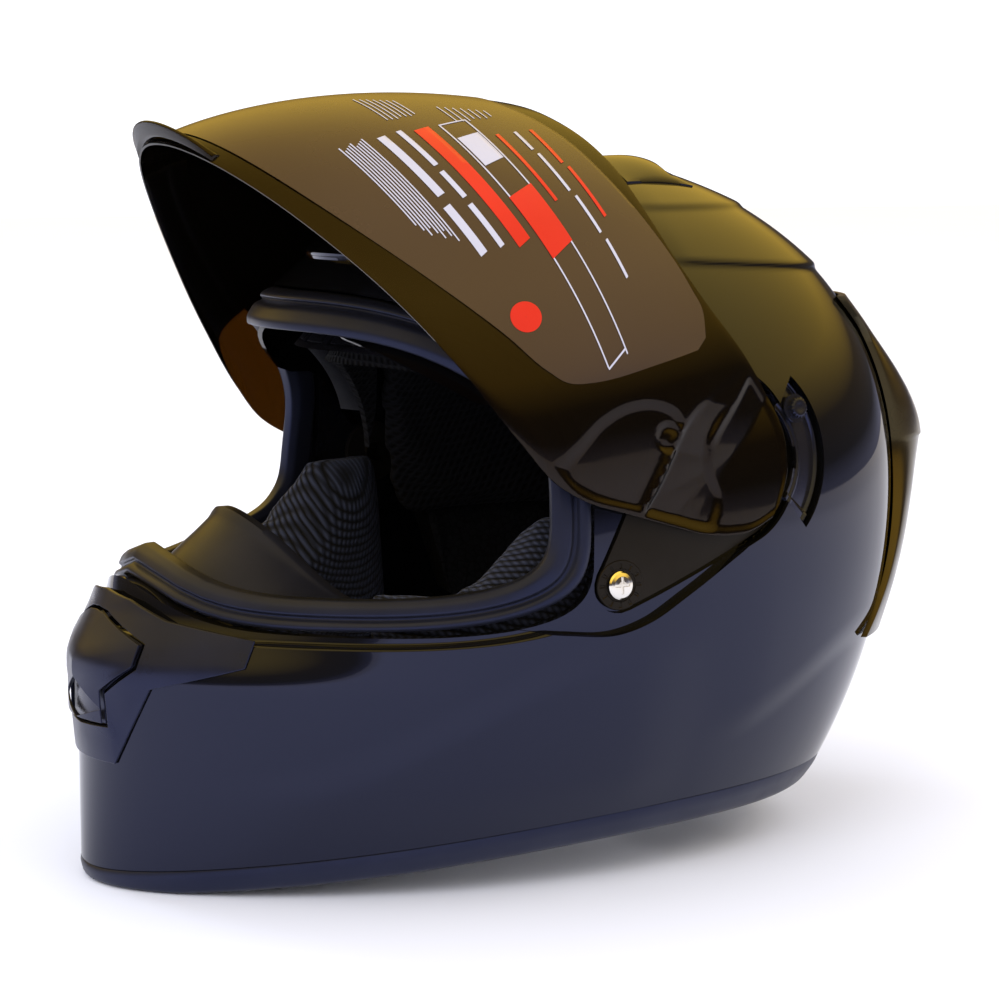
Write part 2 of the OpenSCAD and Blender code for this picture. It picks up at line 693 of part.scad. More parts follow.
module d_ring(x, half, arm, turn) {
    translate([x, strap_y + web_w / 2, ring_z])
    rotate([0, turn, 0])
    union() {
        translate([0, -half, 0])
        rotate([-90, 0, 0])
        cylinder(h = 2 * half, r = 1.9);
        translate([0, -half, 0])
        rotate([0, -90, 0])
        cylinder(h = arm, r = 1.9);
        translate([0, half, 0])
        rotate([0, -90, 0])
        cylinder(h = arm, r = 1.9);
        translate([-arm, 0, 0])
        rotate([0, 0, 90])
        rotate_extrude(angle = 180)
        translate([half, 0])
        circle(r = 1.9);
    }
}

module strap_ring_outer() {
    color("silver")
    d_ring(ring_x - 3.2, 12, 2, 0);
}

module strap_ring_inner() {
    color("silver")
    d_ring(ring_x + 3.2, 16.5, 10, -12);
}

shell();
eps_liner();
chin_foam();
crown_pad();
brow_band();
cheek_pad_left();
cheek_pad_right();
neck_roll();
eyeport_gasket();
base_trim();
rear_spoiler();
chin_vent_frame();
chin_vent_slider();
crown_vent();
breath_guard();
base_plate_left();
base_plate_right();
pivot_sockets();
base_plate_screws();
visor();
visor_film();
visor_spigots();
sun_shield();
sun_shield_hubs();
sun_shield_pins();
sun_lever_track();
sun_lever();
strap_left();
strap_right();
strap_rivets();
strap_ring_sleeve();
strap_ring_outer();
strap_ring_inner();
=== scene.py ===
# Full-face helmet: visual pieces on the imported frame. Lengths are millimetres until place() makes metres.
import math
import bmesh
import bpy
import numpy as np
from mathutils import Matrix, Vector


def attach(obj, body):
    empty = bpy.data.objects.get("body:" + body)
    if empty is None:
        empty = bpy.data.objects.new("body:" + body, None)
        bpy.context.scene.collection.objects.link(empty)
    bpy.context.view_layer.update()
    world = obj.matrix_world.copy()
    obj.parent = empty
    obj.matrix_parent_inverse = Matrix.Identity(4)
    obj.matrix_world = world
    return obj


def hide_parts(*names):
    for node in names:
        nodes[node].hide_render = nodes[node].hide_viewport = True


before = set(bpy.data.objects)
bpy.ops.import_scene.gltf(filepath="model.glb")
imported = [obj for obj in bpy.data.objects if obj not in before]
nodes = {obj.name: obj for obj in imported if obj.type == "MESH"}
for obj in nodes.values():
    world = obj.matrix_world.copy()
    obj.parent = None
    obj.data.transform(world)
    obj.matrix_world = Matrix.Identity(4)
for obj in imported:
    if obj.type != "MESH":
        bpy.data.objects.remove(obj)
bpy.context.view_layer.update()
scene = bpy.context.scene

# ---- surface of the shell
TOP, HALF, FRONT, REAR, YC, WALL = 264.0, 121.5, 174.5, 154.0, 5.0, 4.5
PY, PZ = 30.0, 155.0            # visor pivot
RAISE = 46.0                    # visor angle at rest
SY, SZ = -16.5, 113.0           # plate screw
LY, LZ, LR, LA = 42.0, 154.0, 29.0, 33.0   # sun shield lever: arc centre, radius, angle at rest
PORT_T, PORT_Z, PORT_UP, PORT_DOWN = 75, 143, 70, 46.5   # eye port: half angle, middle height, rise, drop
PLATE_R, PLATE_FOOT_R = 32.5, 10           # recess round the plate: at the pivot and at the screw
MESH_Z = 92                     # height where the shell's rows change pitch
RECESS = 5.2                    # how deep the plate's recess lies


def sind(a):
    return np.sin(np.radians(a))


def cosd(a):
    return np.cos(np.radians(a))


def ease(x):
    t = np.clip(x, 0, 1)
    return t * t * (3 - 2 * t)


def unit(n):
    return np.linspace(0, 1, n)


def around(n, end=360):
    return np.linspace(0, end, n, endpoint=False)


def grid(a, b):
    return np.meshgrid(a, b, indexing="ij")


def prof(z, z0, x, k, p, top):
    """Half breadth at height z: x at z0, rounded to the top, drawn in by the share k at the foot."""
    up = x * np.clip(1 - np.clip((z - z0) / (top - z0), 0, 1) ** p, 0, 1) ** (1 / p)
    return np.where(z >= z0, up, x * (1 - k * ((z0 - z) / z0) ** 2))


def rad(t, z, o):
    """Radius of the shell at plan angle t, o millimetres inside it."""
    t, z, o = (np.asarray(v, float) for v in (t, z, o))
    top = TOP - o
    c, s = cosd(t), sind(t)
    f = prof(z, 95.0, FRONT - o, -0.01, 1.47, top)
    r = prof(z, 139.5, REAR - o, 0.292, 2.11, top)
    w = np.maximum(0.001, prof(z, 114.0, HALF - o, 0.261, 2.15, top))
    g = c * (1.5 - 0.5 * c * c)
    l = np.maximum(0.001, (f + r) / 2 + (f - r) / 2 * g)
    q = 1 / np.sqrt((s / w) ** 2 + (c / l) ** 2)
    a = c / l * q
    return q * (1 + 4 * a * a * (1 - a * a) * (0.006 - 0.0721 * a))


def sp0(t, z, o=0.0):
    t, z, o = np.broadcast_arrays(*(np.asarray(v, float) for v in (t, z, o)))
    r = rad(t, z, o)
    return np.stack([r * sind(t), YC - r * cosd(t), z], -1)


def side_deg(t):
    return (np.asarray(t, float) + 180) % 360 - 180


def sp(t, z, o=0.0):
    """Shell surface: the chin bar falls back towards the port."""
    z = np.asarray(z, float)
    back = 7.5 * ease((z - 76) / 26) * ease((150 - z) / 30) * np.exp(-(side_deg(t) / 42) ** 4)
    return sp0(t, z, o + back)


def xs(y, z, o=0.0):
    """Half width of the shell at depth y and height z."""
    y, z = np.broadcast_arrays(np.asarray(y, float), np.asarray(z, float))
    x = np.full(y.shape, 110.0)
    for _ in range(9):
        r = rad(np.degrees(np.arctan2(x, YC - y)), z, o)
        x = np.sqrt(np.maximum(1, r * r - (y - YC) ** 2))
    return x


def xyz(y, z, o=0.0):
    """Point of the left side at depth y and height z."""
    y, z = np.broadcast_arrays(y, z)
    return np.stack([xs(y, z, o), y, z], -1)


def climb(t):
    s = (1 - cosd(t)) / 2
    return (np.sqrt(s + 0.003) - 0.055) * (1.72 - 0.78 * s)


def seam(t):
    return 6.5 + 24.5 * climb(t)


def foot(t):
    return 21.5 * np.maximum(0, climb(t) - 0.11)


def port_lo(t):
    q = np.clip(np.abs(t) / PORT_T, 0, 1)
    return PORT_Z - PORT_DOWN * np.clip(1 - q ** 6, 0, 1) ** (1 / 6) + 14 * np.exp(-(t / 13) ** 2)


def port_hi(t):
    q = np.clip(np.abs(t) / PORT_T, 0, 1)
    return PORT_Z + PORT_UP * np.clip(1 - q ** 2.6, 0, 1) ** (1 / 2.6)


VIS_LO = ([0, 24, 39, 56, 70, 79, 85, 92, 100, 106, 110, 113.5, 115.5],
          [110, 110.5, 108.5, 104, 99.5, 98.5, 102, 110, 119.5, 127, 134, 143, 152])
VIS_HI = ([0, 20, 40, 50, 62, 70, 79, 96, 103, 108, 112, 114.5, 115.5],
          [222, 221, 215.5, 209.5, 199.5, 193.5, 189.5, 186.5, 184, 180.5, 174, 166, 158])


def hermite(u, h, y0, y1, d0, d1):
    return ((1 + 2 * u) * (1 - u) ** 2 * y0 + u * (1 - u) ** 2 * h * d0
            + u * u * (3 - 2 * u) * y1 + u * u * (u - 1) * h * d1)


def curve(table, t):
    """A table of a few design points as a smooth curve."""
    x, y = (np.asarray(v, float) for v in table)
    d = np.gradient(y, x)
    t = np.clip(np.abs(t), x[0], x[-1])
    i = np.clip(np.searchsorted(x, t) - 1, 0, len(x) - 2)
    h = x[i + 1] - x[i]
    return hermite((t - x[i]) / h, h, y[i], y[i + 1], d[i], d[i + 1])


def seg_dist(y, z, r1, r2):
    """Distance to the tapered plate outline, negative inside."""
    dy, dz = SY - PY, SZ - PZ
    t = np.clip(((y - PY) * dy + (z - PZ) * dz) / (dy * dy + dz * dz), 0, 1)
    return np.hypot(y - PY - t * dy, z - PZ - t * dz) - (r1 + (r2 - r1) * t)


def pocket_dist(y, z):
    """Distance to the pocket of the sun shield lever."""
    r = np.hypot(y - LY, z - LZ)
    a = np.degrees(np.arctan2(z - LZ, y - LY))
    return np.maximum(np.abs(r - 28.4) - 7.8, (np.abs(a) - 50) * np.radians(28.4))


def seat_edges(a):
    """Lower and upper edge of the visor's seat at plan angle a."""
    return (curve(VIS_LO, a) - 2.5,
            curve(VIS_HI, a) + 3.5 + 3.5 * ease((a - 66) / 8) * ease((104 - a) / 8))


def foot_dist(t, z):
    """Distance to the place the closed visor takes up beside the port."""
    a = np.abs(t)
    e = 0.5
    sl = (curve(VIS_LO, a + e) - curve(VIS_LO, a - e)) / (4.4 * e)
    sh = (curve(VIS_HI, a + e) - curve(VIS_HI, a - e)) / (4.4 * e)
    low, high = seat_edges(a)
    lo = (low - z) / np.sqrt(1 + sl * sl)
    hi = (z - high) / np.sqrt(1 + sh * sh)
    return np.maximum(np.maximum(lo, hi), np.maximum((a - 117) * 2.1, (58 - a) * 2.3))


def band_dist(t, z):
    """Distance to the outline of the seat the port gasket lies on."""
    a = np.abs(t) / 79
    h = np.where(z > PORT_Z, (z - PORT_Z) / 81, (PORT_Z - z) / 49.5)
    return ((a ** 5 + h ** 5) ** 0.2 - 1) * 60


# ---- mesh helpers
def quads(n, m, wrap_u=False, wrap_v=False, off=0, flip=False):
    i = np.arange(n if wrap_u else n - 1)
    j = np.arange(m if wrap_v else m - 1)
    i, j = np.meshgrid(i, j, indexing="ij")
    a, b = i * m + j, (i + 1) % n * m + j
    c, d = (i + 1) % n * m + (j + 1) % m, i * m + (j + 1) % m
    q = np.stack([a, b, c, d], -1).reshape(-1, 4) + off
    return (q[:, ::-1] if flip else q).tolist()


def place(name, v, f, mat, body="helmet", replaces=(), slot=None, sharp=35, bevel=0.0):
    """Makes a piece from millimetre points, recalculates its normals and puts it on its body."""
    me = bpy.data.meshes.new(name)
    me.from_pydata((np.asarray(v, float).reshape(-1, 3) / 1000).tolist(), [], f)
    bm = bmesh.new()
    bm.from_mesh(me)
    bmesh.ops.remove_doubles(bm, verts=bm.verts, dist=1e-6)
    bmesh.ops.recalc_face_normals(bm, faces=bm.faces)
    bm.to_mesh(me)
    bm.free()
    ob = bpy.data.objects.new(name, me)
    scene.collection.objects.link(ob)
    me.materials.append(mat)
    smooth(me, sharp)
    if bevel:
        b = ob.modifiers.new("edge", "BEVEL")
        b.width = bevel / 1000
        b.segments = 2
        b.limit_method = "ANGLE"
        b.angle_limit = math.radians(40)
        b.harden_normals = True
    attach(ob, body)
    if replaces:
        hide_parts(*replaces)
    return ob


def smooth(me, angle):
    me.polygons.foreach_set("use_smooth", [True] * len(me.polygons))
    me.set_sharp_from_angle(angle=math.radians(angle))


def slab(a, b, wrap=False):
    """Closed solid between two point grids of the same size."""
    a, b = np.asarray(a, float), np.asarray(b, float)
    n, m = a.shape[:2]
    k = n * m
    f = quads(n, m, wrap) + quads(n, m, wrap, off=k, flip=True)
    last = n if wrap else n - 1
    for j in (0, m - 1):
        f += [[i * m + j, (i + 1) % n * m + j, k + (i + 1) % n * m + j, k + i * m + j]
              for i in range(last)]
    if not wrap:
        for i in (0, n - 1):
            f += [[i * m + j, i * m + j + 1, k + i * m + j + 1, k + i * m + j] for j in range(m - 1)]
    return np.concatenate([a.reshape(-1, 3), b.reshape(-1, 3)]), f


def loft(s, wrap=False):
    """Closed sections joined one after another."""
    s = np.asarray(s, float)
    n, m = s.shape[:2]
    f = quads(n, m, wrap, True)
    if not wrap:
        f += [list(range(m)), list(range((n - 1) * m, n * m))]
    return s.reshape(-1, 3), f


def rounded(section, n=5, r=1.0):
    """Rounds the corners of a closed 2-D outline."""
    p = np.asarray(section, float)
    out = []
    for i in range(len(p)):
        a, b, c = p[i - 1], p[i], p[(i + 1) % len(p)]
        u, w = a - b, c - b
        lu, lw = np.linalg.norm(u), np.linalg.norm(w)
        d = min(r, lu * 0.45, lw * 0.45)
        q0, q1 = b + u / lu * d, b + w / lw * d
        for t in unit(n):
            out.append((1 - t) ** 2 * q0 + 2 * t * (1 - t) * b + t * t * q1)
    return np.array(out)


def smooth_path(p, n):
    """A smooth curve through a few points."""
    p = np.asarray(p, float)
    d = np.r_[0, np.cumsum(np.linalg.norm(np.diff(p, axis=0), axis=1))]
    g = np.gradient(p, d, axis=0)
    t = np.linspace(0, d[-1], n)
    i = np.clip(np.searchsorted(d, t) - 1, 0, len(d) - 2)
    h = (d[i + 1] - d[i])[:, None]
    return hermite((t - d[i])[:, None] / h, h, p[i], p[i + 1], g[i], g[i + 1])


def mirror_x(v):
    return np.asarray(v, float) * [-1, 1, 1]


def raised(v):
    """From the closed visor's place to the raised one."""
    v = np.asarray(v, float).copy()
    y, z = v[..., 1] - PY, v[..., 2] - PZ
    c, s = cosd(RAISE), sind(RAISE)
    v[..., 1], v[..., 2] = PY + y * c + z * s, PZ - y * s + z * c
    return v


# ---- materials
def add_node(tree, kind, inputs=None, **props):
    """A shader node; an input that is a socket is linked, any other is set."""
    n = tree.nodes.new("ShaderNode" + kind)
    for k, v in props.items():
        setattr(n, k, v)
    for k, v in (inputs or {}).items():
        if isinstance(v, bpy.types.NodeSocket):
            tree.links.new(v, n.inputs[k])
        else:
            n.inputs[k].default_value = v
    return n


class Mat:
    """Small builder for node materials."""

    def __init__(self, name, color=(0.02, 0.02, 0.02), rough=0.5, **sockets):
        self.m = bpy.data.materials.new(name)
        self.m.use_nodes = True
        self.nt = self.m.node_tree
        self.bsdf = self.nt.nodes["Principled BSDF"]
        self.out = self.nt.nodes["Material Output"]
        self.bsdf.inputs["Base Color"].default_value = (*color, 1)
        self.bsdf.inputs["Roughness"].default_value = rough
        for k, v in sockets.items():
            self.bsdf.inputs[k.replace("_", " ")].default_value = v
        self.co = self.add("TexCoord").outputs["Object"]
        self.normal = None

    def add(self, kind, inputs=None, **props):
        return add_node(self.nt, kind, inputs, **props)

    def math(self, op, a, b=0.0, c=0.0):
        return self.add("Math", {0: a, 1: b, 2: c}, operation=op).outputs[0]

    def mul(self, a, b):
        return self.math("MULTIPLY", a, b)

    def noise(self, scale, detail=3.0, rough=0.5, stretch=None):
        co = self.co
        if stretch:
            co = self.add("Mapping", {"Vector": self.co, "Scale": stretch}).outputs[0]
        return self.add("TexNoise", {"Vector": co, "Scale": scale, "Detail": detail,
                                     "Roughness": rough}).outputs["Fac"]

    def cells(self, scale):
        """Distance to the nearest border between cells."""
        return self.add("TexVoronoi", {"Vector": self.co, "Scale": scale},
                        feature="DISTANCE_TO_EDGE").outputs["Distance"]

    def ramp(self, fac, lo, hi, a, b):
        """Colour between a and b as fac goes from lo to hi."""
        n = self.add("ValToRGB", {"Fac": fac})
        n.color_ramp.elements[0].position = lo
        n.color_ramp.elements[1].position = hi
        n.color_ramp.elements[0].color = (*a, 1)
        n.color_ramp.elements[1].color = (*b, 1)
        return n.outputs["Color"]

    def span(self, fac, lo, hi, a, b):
        return self.add("MapRange", {"Value": fac, "From Min": lo, "From Max": hi,
                                     "To Min": a, "To Max": b}).outputs["Result"]

    def color(self, socket):
        self.nt.links.new(socket, self.bsdf.inputs["Base Color"])

    def rough(self, socket):
        self.nt.links.new(socket, self.bsdf.inputs["Roughness"])

    def bump(self, height, strength, dist):
        """Adds a bump layer, distance in millimetres."""
        i = {"Height": height, "Strength": strength, "Distance": dist / 1000}
        if self.normal is not None:
            i["Normal"] = self.normal
        self.normal = self.add("Bump", i).outputs[0]
        self.nt.links.new(self.normal, self.bsdf.inputs["Normal"])
        return self

    def axes(self):
        s = self.add("SeparateXYZ", {"Vector": self.co})
        return s.outputs[0], s.outputs[1], s.outputs[2]

    def round_axes(self):
        """Distance round the upright axis and distance out from it, in metres."""
        x, y, z = self.axes()
        a = self.math("ARCTAN2", x, self.mul(y, -1.0))
        r = self.math("SQRT", self.math("ADD", self.mul(x, x), self.mul(y, y)))
        return a, r, z


def gloss_black():
    """Glossy shell paint with a little orange peel."""
    m = Mat("paint_gloss_black", (0.0035, 0.0036, 0.005), 0.06, IOR=1.52,
            Specular_Tint=(0.50, 0.56, 1.0, 1))
    m.color(m.ramp(m.noise(9, 2), 0.35, 0.7, (0.0028, 0.003, 0.0042), (0.0042, 0.0044, 0.006)))
    m.rough(m.span(m.noise(14, 5, 0.6), 0.3, 0.75, 0.03, 0.07))
    m.bump(m.noise(34, 2), 0.1, 0.25).bump(m.noise(420, 4, 0.6), 0.05, 0.02)
    return m.m


def moulded(name, color, rough, grain=0.06, scale=1500, spread=0.25, shine=0.5, tint=(0.34, 0.42, 1.0)):
    """Moulded plastic or rubber with a fine texture and tone and roughness that vary at random."""
    m = Mat(name, color, rough, Specular_IOR_Level=shine, Specular_Tint=(*tint, 1))
    hi = tuple(min(1, c * (1 + spread) + 0.002) for c in color)
    m.color(m.ramp(m.noise(26, 5, 0.6), 0.35, 0.7, color, hi))
    m.rough(m.span(m.noise(60, 4), 0.3, 0.7, rough - 0.05, rough + 0.08))
    m.bump(m.noise(scale, 3, 0.6), 0.35, grain).bump(m.noise(90, 2), 0.2, 0.08)
    return m.m


QUARTER = 1.5708                # a quarter turn
PAD_RADIUS = 0.092              # metres from the upright axis to the pads


def knit(name, lo, hi, pitch, run, depth, holes=False):
    """Coarse rib knit, or open mesh; pitch and run in metres, depth in millimetres."""
    m = Mat(name, lo, 0.9, Sheen_Weight=0.0 if holes else 0.08, Sheen_Roughness=0.45,
            Specular_IOR_Level=0.15 if holes else 0.3, Sheen_Tint=(0.55, 0.62, 0.85, 1))
    a, r, z = m.round_axes()
    waver = m.mul(m.math("SUBTRACT", m.noise(40, 2), 0.5), 0.0022)
    v = m.math("ADD", m.math("ADD", m.mul(z, 0.75), m.mul(r, -0.75)), waver)
    u = m.mul(a, PAD_RADIUS)
    row = m.math("DIVIDE", v, pitch)
    k = m.math("FLOOR", row)
    across = m.math("SUBTRACT", m.math("FRACT", row), 0.5)
    hill = m.math("SUBTRACT", 1.0, m.mul(m.math("ABSOLUTE", across), 2.0))
    hill = m.math("SINE", m.mul(hill, QUARTER))
    ph = m.math("ADD", m.math("DIVIDE", u, run), m.mul(k, 0.5))
    ph = m.math("ADD", ph, m.mul(across, 0.55))
    dash = m.math("MULTIPLY_ADD", m.math("SINE", m.mul(ph, 4 * QUARTER)), 0.5, 0.5)
    if holes:
        h = m.math("MULTIPLY_ADD", m.mul(dash, hill), -1.0, 1.0)
    else:
        h = m.mul(hill, m.math("MULTIPLY_ADD", dash, 0.62, 0.38))
    h = m.math("MULTIPLY_ADD", m.noise(2600, 3, 0.7), 0.22, h)
    # painted shade and highlight: the colour follows the bump height, darker in the dips and in the holes of
    # the open mesh, lighter on the ridges
    m.color(m.ramp(h, 0.25, 1.05, lo, hi))
    m.bump(h, 0.9, depth)
    return m.m


def brushed(name, lo, hi, scale=900):
    """Brushed tricot lining."""
    m = Mat(name, lo, 0.9, Sheen_Weight=0.08, Sheen_Roughness=0.4, Specular_IOR_Level=0.2)
    n = m.noise(scale, 4, 0.7)
    both = m.math("MULTIPLY_ADD", m.noise(35, 3), 0.5, m.mul(n, 0.5))
    m.color(m.ramp(both, 0.3, 0.75, lo, hi))
    m.bump(n, 0.5, 0.25).bump(m.noise(70, 3), 0.3, 0.8)
    return m.m


def webbing(name):
    """Woven strap: herringbone ribs across the width."""
    m = Mat(name, (0.012, 0.012, 0.015), 0.75, Sheen_Weight=0.3, Sheen_Roughness=0.35)
    x, y, z = m.axes()
    along = m.math("ADD", x, m.mul(z, 1.1))
    zig = m.math("PINGPONG", y, 0.0035)
    w = m.math("SINE", m.mul(m.math("ADD", along, zig), 3600.0))
    c = m.math("SINE", m.mul(y, 4200.0))
    h = m.math("ADD", m.mul(w, 0.5), m.mul(c, 0.25))
    # painted shade and highlight: the colour follows the weave's bump height, darker in the dips and lighter
    # on the ribs
    m.color(m.ramp(m.math("MULTIPLY_ADD", h, 0.4, 0.5), 0.2, 0.9,
                   (0.007, 0.007, 0.009), (0.03, 0.03, 0.036)))
    m.bump(h, 0.7, 0.25)
    return m.m


def leatherette():
    """Smooth leather-look cloth with a fine pebble grain."""
    m = Mat("brow_leatherette", (0.012, 0.012, 0.016), 0.42, Specular_IOR_Level=0.15)
    v = m.cells(900.0)
    m.color(m.ramp(m.noise(50, 3), 0.3, 0.7, (0.003, 0.003, 0.0045), (0.006, 0.006, 0.009)))
    m.rough(m.span(m.noise(80, 3), 0.3, 0.7, 0.34, 0.5))
    m.bump(m.span(v, 0.0, 0.12, 0.0, 1.0), 0.5, 0.12)
    return m.m


def foam():
    """Moulded bead foam."""
    m = Mat("moulded_foam", (0.004, 0.004, 0.005), 0.85, Specular_IOR_Level=0.1)
    v = m.cells(330.0)
    # painted shade: the colour follows the bump, darker in the grooves between the beads
    m.color(m.ramp(v, 0.0, 0.12, (0.002, 0.002, 0.0025), (0.005, 0.005, 0.006)))
    m.bump(m.span(v, 0.0, 0.15, 0.0, 1.0), 0.6, 0.4)
    return m.m


def metal(name, color, rough):
    """Bare metal with faint wear."""
    m = Mat(name, color, rough, Metallic=1.0)
    m.rough(m.span(m.noise(240, 4, 0.7), 0.3, 0.75, max(0.03, rough - 0.05), rough + 0.12))
    m.bump(m.noise(700, 2), 0.08, 0.02)
    return m.m


def tinted(name, tint, body, share, rough=0.03):
    """Clear tinted sheet: light passes with the tint, and the skin reflects by Fresnel."""
    m = Mat(name, body, rough, Specular_Tint=(0.85, 0.74, 0.72, 1))
    dark, light = (tuple(c * k for c in body) for k in (0.85, 1.15))
    m.color(m.ramp(m.noise(7, 2), 0.3, 0.7, dark, light))
    m.rough(m.span(m.noise(18, 5, 0.65), 0.35, 0.8, rough, rough + 0.07))
    m.bump(m.noise(30, 2), 0.06, 0.2)
    tr = m.add("BsdfTransparent", {"Color": (*tint, 1)})
    keep = m.math("MAXIMUM", m.add("Fresnel", {"IOR": 1.5, "Normal": m.normal}).outputs[0], share)
    mix = m.add("MixShader", {0: keep, 1: tr.outputs[0], 2: m.bsdf.outputs[0]})
    m.nt.links.new(mix.outputs[0], m.out.inputs["Surface"])
    return m.m


M = {
    "paint": gloss_black(),
    "rubber": moulded("gasket_rubber", (0.007, 0.0078, 0.013), 0.38, 0.05, 1700, shine=0.42),
    "trim": moulded("edge_trim_rubber", (0.008, 0.009, 0.015), 0.36, 0.04, 1700),
    "matte": moulded("vent_plastic", (0.007, 0.0075, 0.013), 0.30, 0.05, 1900),
    "guard": moulded("breath_guard_rubber", (0.009, 0.009, 0.012), 0.34, 0.04, 1500, shine=0.28),
    "bronze": moulded("spoiler_satin", (0.012, 0.009, 0.0045), 0.2, 0.02, 1200, tint=(0.95, 0.8, 0.45)),
    "hinge": moulded("hinge_plastic", (0.0035, 0.003, 0.0028), 0.34, 0.05, 1700, shine=0.2,
                     tint=(0.8, 0.7, 0.6)),
    # knit colours: the first is the painted shade in the dips and holes, the second the painted highlight on
    # the ridges
    "knit": knit("cheek_knit", (0.002, 0.0024, 0.0042), (0.036, 0.041, 0.068), 0.0021, 0.0026, 1.0),
    "mesh": knit("crown_mesh", (0.0006, 0.0006, 0.0009), (0.0052, 0.0054, 0.0075), 0.0030, 0.0040, 0.9,
                 holes=True),
    "lining": brushed("lining_tricot", (0.004, 0.004, 0.006), (0.012, 0.012, 0.017)),
    "leather": leatherette(),
    "foam": foam(),
    "web": webbing("strap_webbing"),
    "steel": metal("steel_polished", (0.72, 0.70, 0.66), 0.08),
    "gloss_in": moulded("gloss_lever", (0.008, 0.008, 0.011), 0.12, 0.01, 900),
    "visor": tinted("visor_smoke", (0.30, 0.17, 0.04), (0.0045, 0.0034, 0.002), 0.5),
    "shade": tinted("shield_smoke", (0.10, 0.10, 0.11), (0.004, 0.004, 0.005), 0.35),
    "film": tinted("film_brown", (0.30, 0.26, 0.22), (0.040, 0.028, 0.024), 0.88, 0.24),
    "white": moulded("print_white", (0.46, 0.46, 0.56), 0.35, 0.01, 1500, 0.05),
    "red": moulded("print_red", (0.50, 0.012, 0.006), 0.35, 0.01, 1500, 0.1, tint=(1.0, 0.5, 0.4)),
}

# ---- shell
def crest(t, z):
    """Character lines: how far the paint stands above the plain surface."""
    a = np.abs(side_deg(t))
    p = sp(t, z)
    x, y = np.abs(p[..., 0]), p[..., 1]
    out = 0
    # terraces on the crown
    for zc, h, w in ((222.5 - 0.055 * (y - 35), 1.5, 26.0), (242.0 + 0 * y, 1.3, 14.0)):
        d = z - zc
        rise = h * ease(d / 3.4 + 0.5) * np.exp(-np.maximum(0, d) / w * 1.6)
        out = out + rise * ease((y - 12) / 22) * ease((x - 22) / 16) * ease((178 - a) / 10)
    # soft line rising from the chin to the plate recess
    zc = 40 + 52 * ease((a - 18) / 68)
    d = z - zc
    out = out + (1.7 * ease(0.5 - d / 16) * ease((z - 18) / 26)
                 * ease((a - 14) / 16) * ease((98 - a) / 16))
    # soft line on the rear quarter
    zc = 56 + 27 * ease((a - 104) / 34)
    d = z - zc
    return out + (1.5 * ease(d / 16 + 0.5) * np.exp(-np.maximum(0, d) / 45)
                  * ease((a - 98) / 14) * ease((152 - a) / 12))


def seat(t, z, soft):
    """How far the outside is set back round the eye port, where the gasket lies."""
    b = np.where(np.abs(side_deg(t)) < 100, band_dist(side_deg(t), z), 99)
    return 3.0 * ease(0.5 - b / soft)


def build_shell():
    """Double-walled shell; the port is a gap between rows m1 and m1 + 1."""
    s = np.linspace(-1, 1, 221)
    tp = np.sign(s) * PORT_T * (1 - (1 - np.abs(s)) ** 1.2)
    tr = PORT_T + (360 - 2 * PORT_T) * unit(231)[1:-1]
    t = np.concatenate([tp, tr])
    port = np.arange(len(t)) < len(tp)
    n, m1, m2 = len(t), 84, 132
    zl = np.where(port, port_lo(np.where(port, t, 0)), PORT_Z)
    zh = np.where(port, port_hi(np.where(port, t, 0)), PORT_Z)
    f2 = sind(89.4 * unit(m2 + 1) ** 0.96)
    f1 = unit(m1 + 1)
    z = np.concatenate([seam(t)[:, None] + (MESH_Z - seam(t))[:, None] * np.minimum(1, f1 / 0.7)
                        + (zl - MESH_Z)[:, None] * np.maximum(0, (f1 - 0.7) / 0.3),
                        zh[:, None] + (TOP - zh)[:, None] * f2], 1)
    tt = np.repeat(t[:, None], z.shape[1], 1)
    m = z.shape[1]
    fade = np.ones(m)
    fade[m1 + 1:] = 1 - f2 ** 10
    outer = sp(tt, z, (seat(tt, z, 2.4) - crest(tt, z)) * fade)
    p = sp(tt, z)
    y, side = p[..., 1], np.abs(p[..., 0]) > 60
    cut = np.minimum(seg_dist(y, z, PLATE_R, PLATE_FOOT_R), foot_dist(side_deg(tt), z) + 1)
    cut = np.minimum(cut, np.where(side_deg(tt) > 0, pocket_dist(y, z), 99))
    back = np.maximum(seat(tt, z, 4.0), np.where(side, 5.0 * ease(0.5 - cut / 5), 0))
    zi = z.copy()
    zi[:, m1 + 1:] = zh[:, None] + (TOP - WALL - zh)[:, None] * f2
    inner = sp(tt, zi, WALL + back * fade)
    v = np.concatenate([outer.reshape(-1, 3), inner.reshape(-1, 3)])
    k, last = n * m, len(tp) - 1

    def vid(i, j):
        i = i % n
        return i * m + (m1 if j == m1 + 1 and (i == 0 or i >= last) else j)

    faces = []
    for i in range(n):
        for j in [*range(m1), *range(m1 + 1, m - 1)]:
            a, b, c, d = vid(i, j), vid(i + 1, j), vid(i + 1, j + 1), vid(i, j + 1)
            faces += [[a, b, c, d], [k + d, k + c, k + b, k + a]]
        a, b = vid(i, 0), vid(i + 1, 0)
        faces.append([a, k + a, k + b, b])
        if i < last:
            for j in (m1, m1 + 1):
                a, b = vid(i, j), vid(i + 1, j)
                if a != b:
                    faces.append([a, k + a, k + b, b])
    faces.append([i * m + m - 1 for i in range(n)])
    faces.append([k + i * m + m - 1 for i in range(n)])
    return v, faces


def reach(f, r1, r2):
    """How far the tapered plate outline lies from the pivot in direction f."""
    best = np.zeros_like(f)
    for t in unit(21):
        cy, cz, r = (SY - PY) * t, (SZ - PZ) * t, r1 + (r2 - r1) * t
        al = cy * cosd(f) + cz * sind(f)
        ac = cz * cosd(f) - cy * sind(f)
        far = al + np.sqrt(np.maximum(0, r * r - ac * ac))
        best = np.maximum(best, np.where(r > np.abs(ac), far, 0))
    return best


def evaluated(ob):
    """The piece's mesh with its modifiers applied."""
    return bpy.data.meshes.new_from_object(ob.evaluated_get(bpy.context.evaluated_depsgraph_get()))


def bake(ob):
    """Applies the modifiers."""
    me = evaluated(ob)
    ob.modifiers.clear()
    ob.data = me
    return me


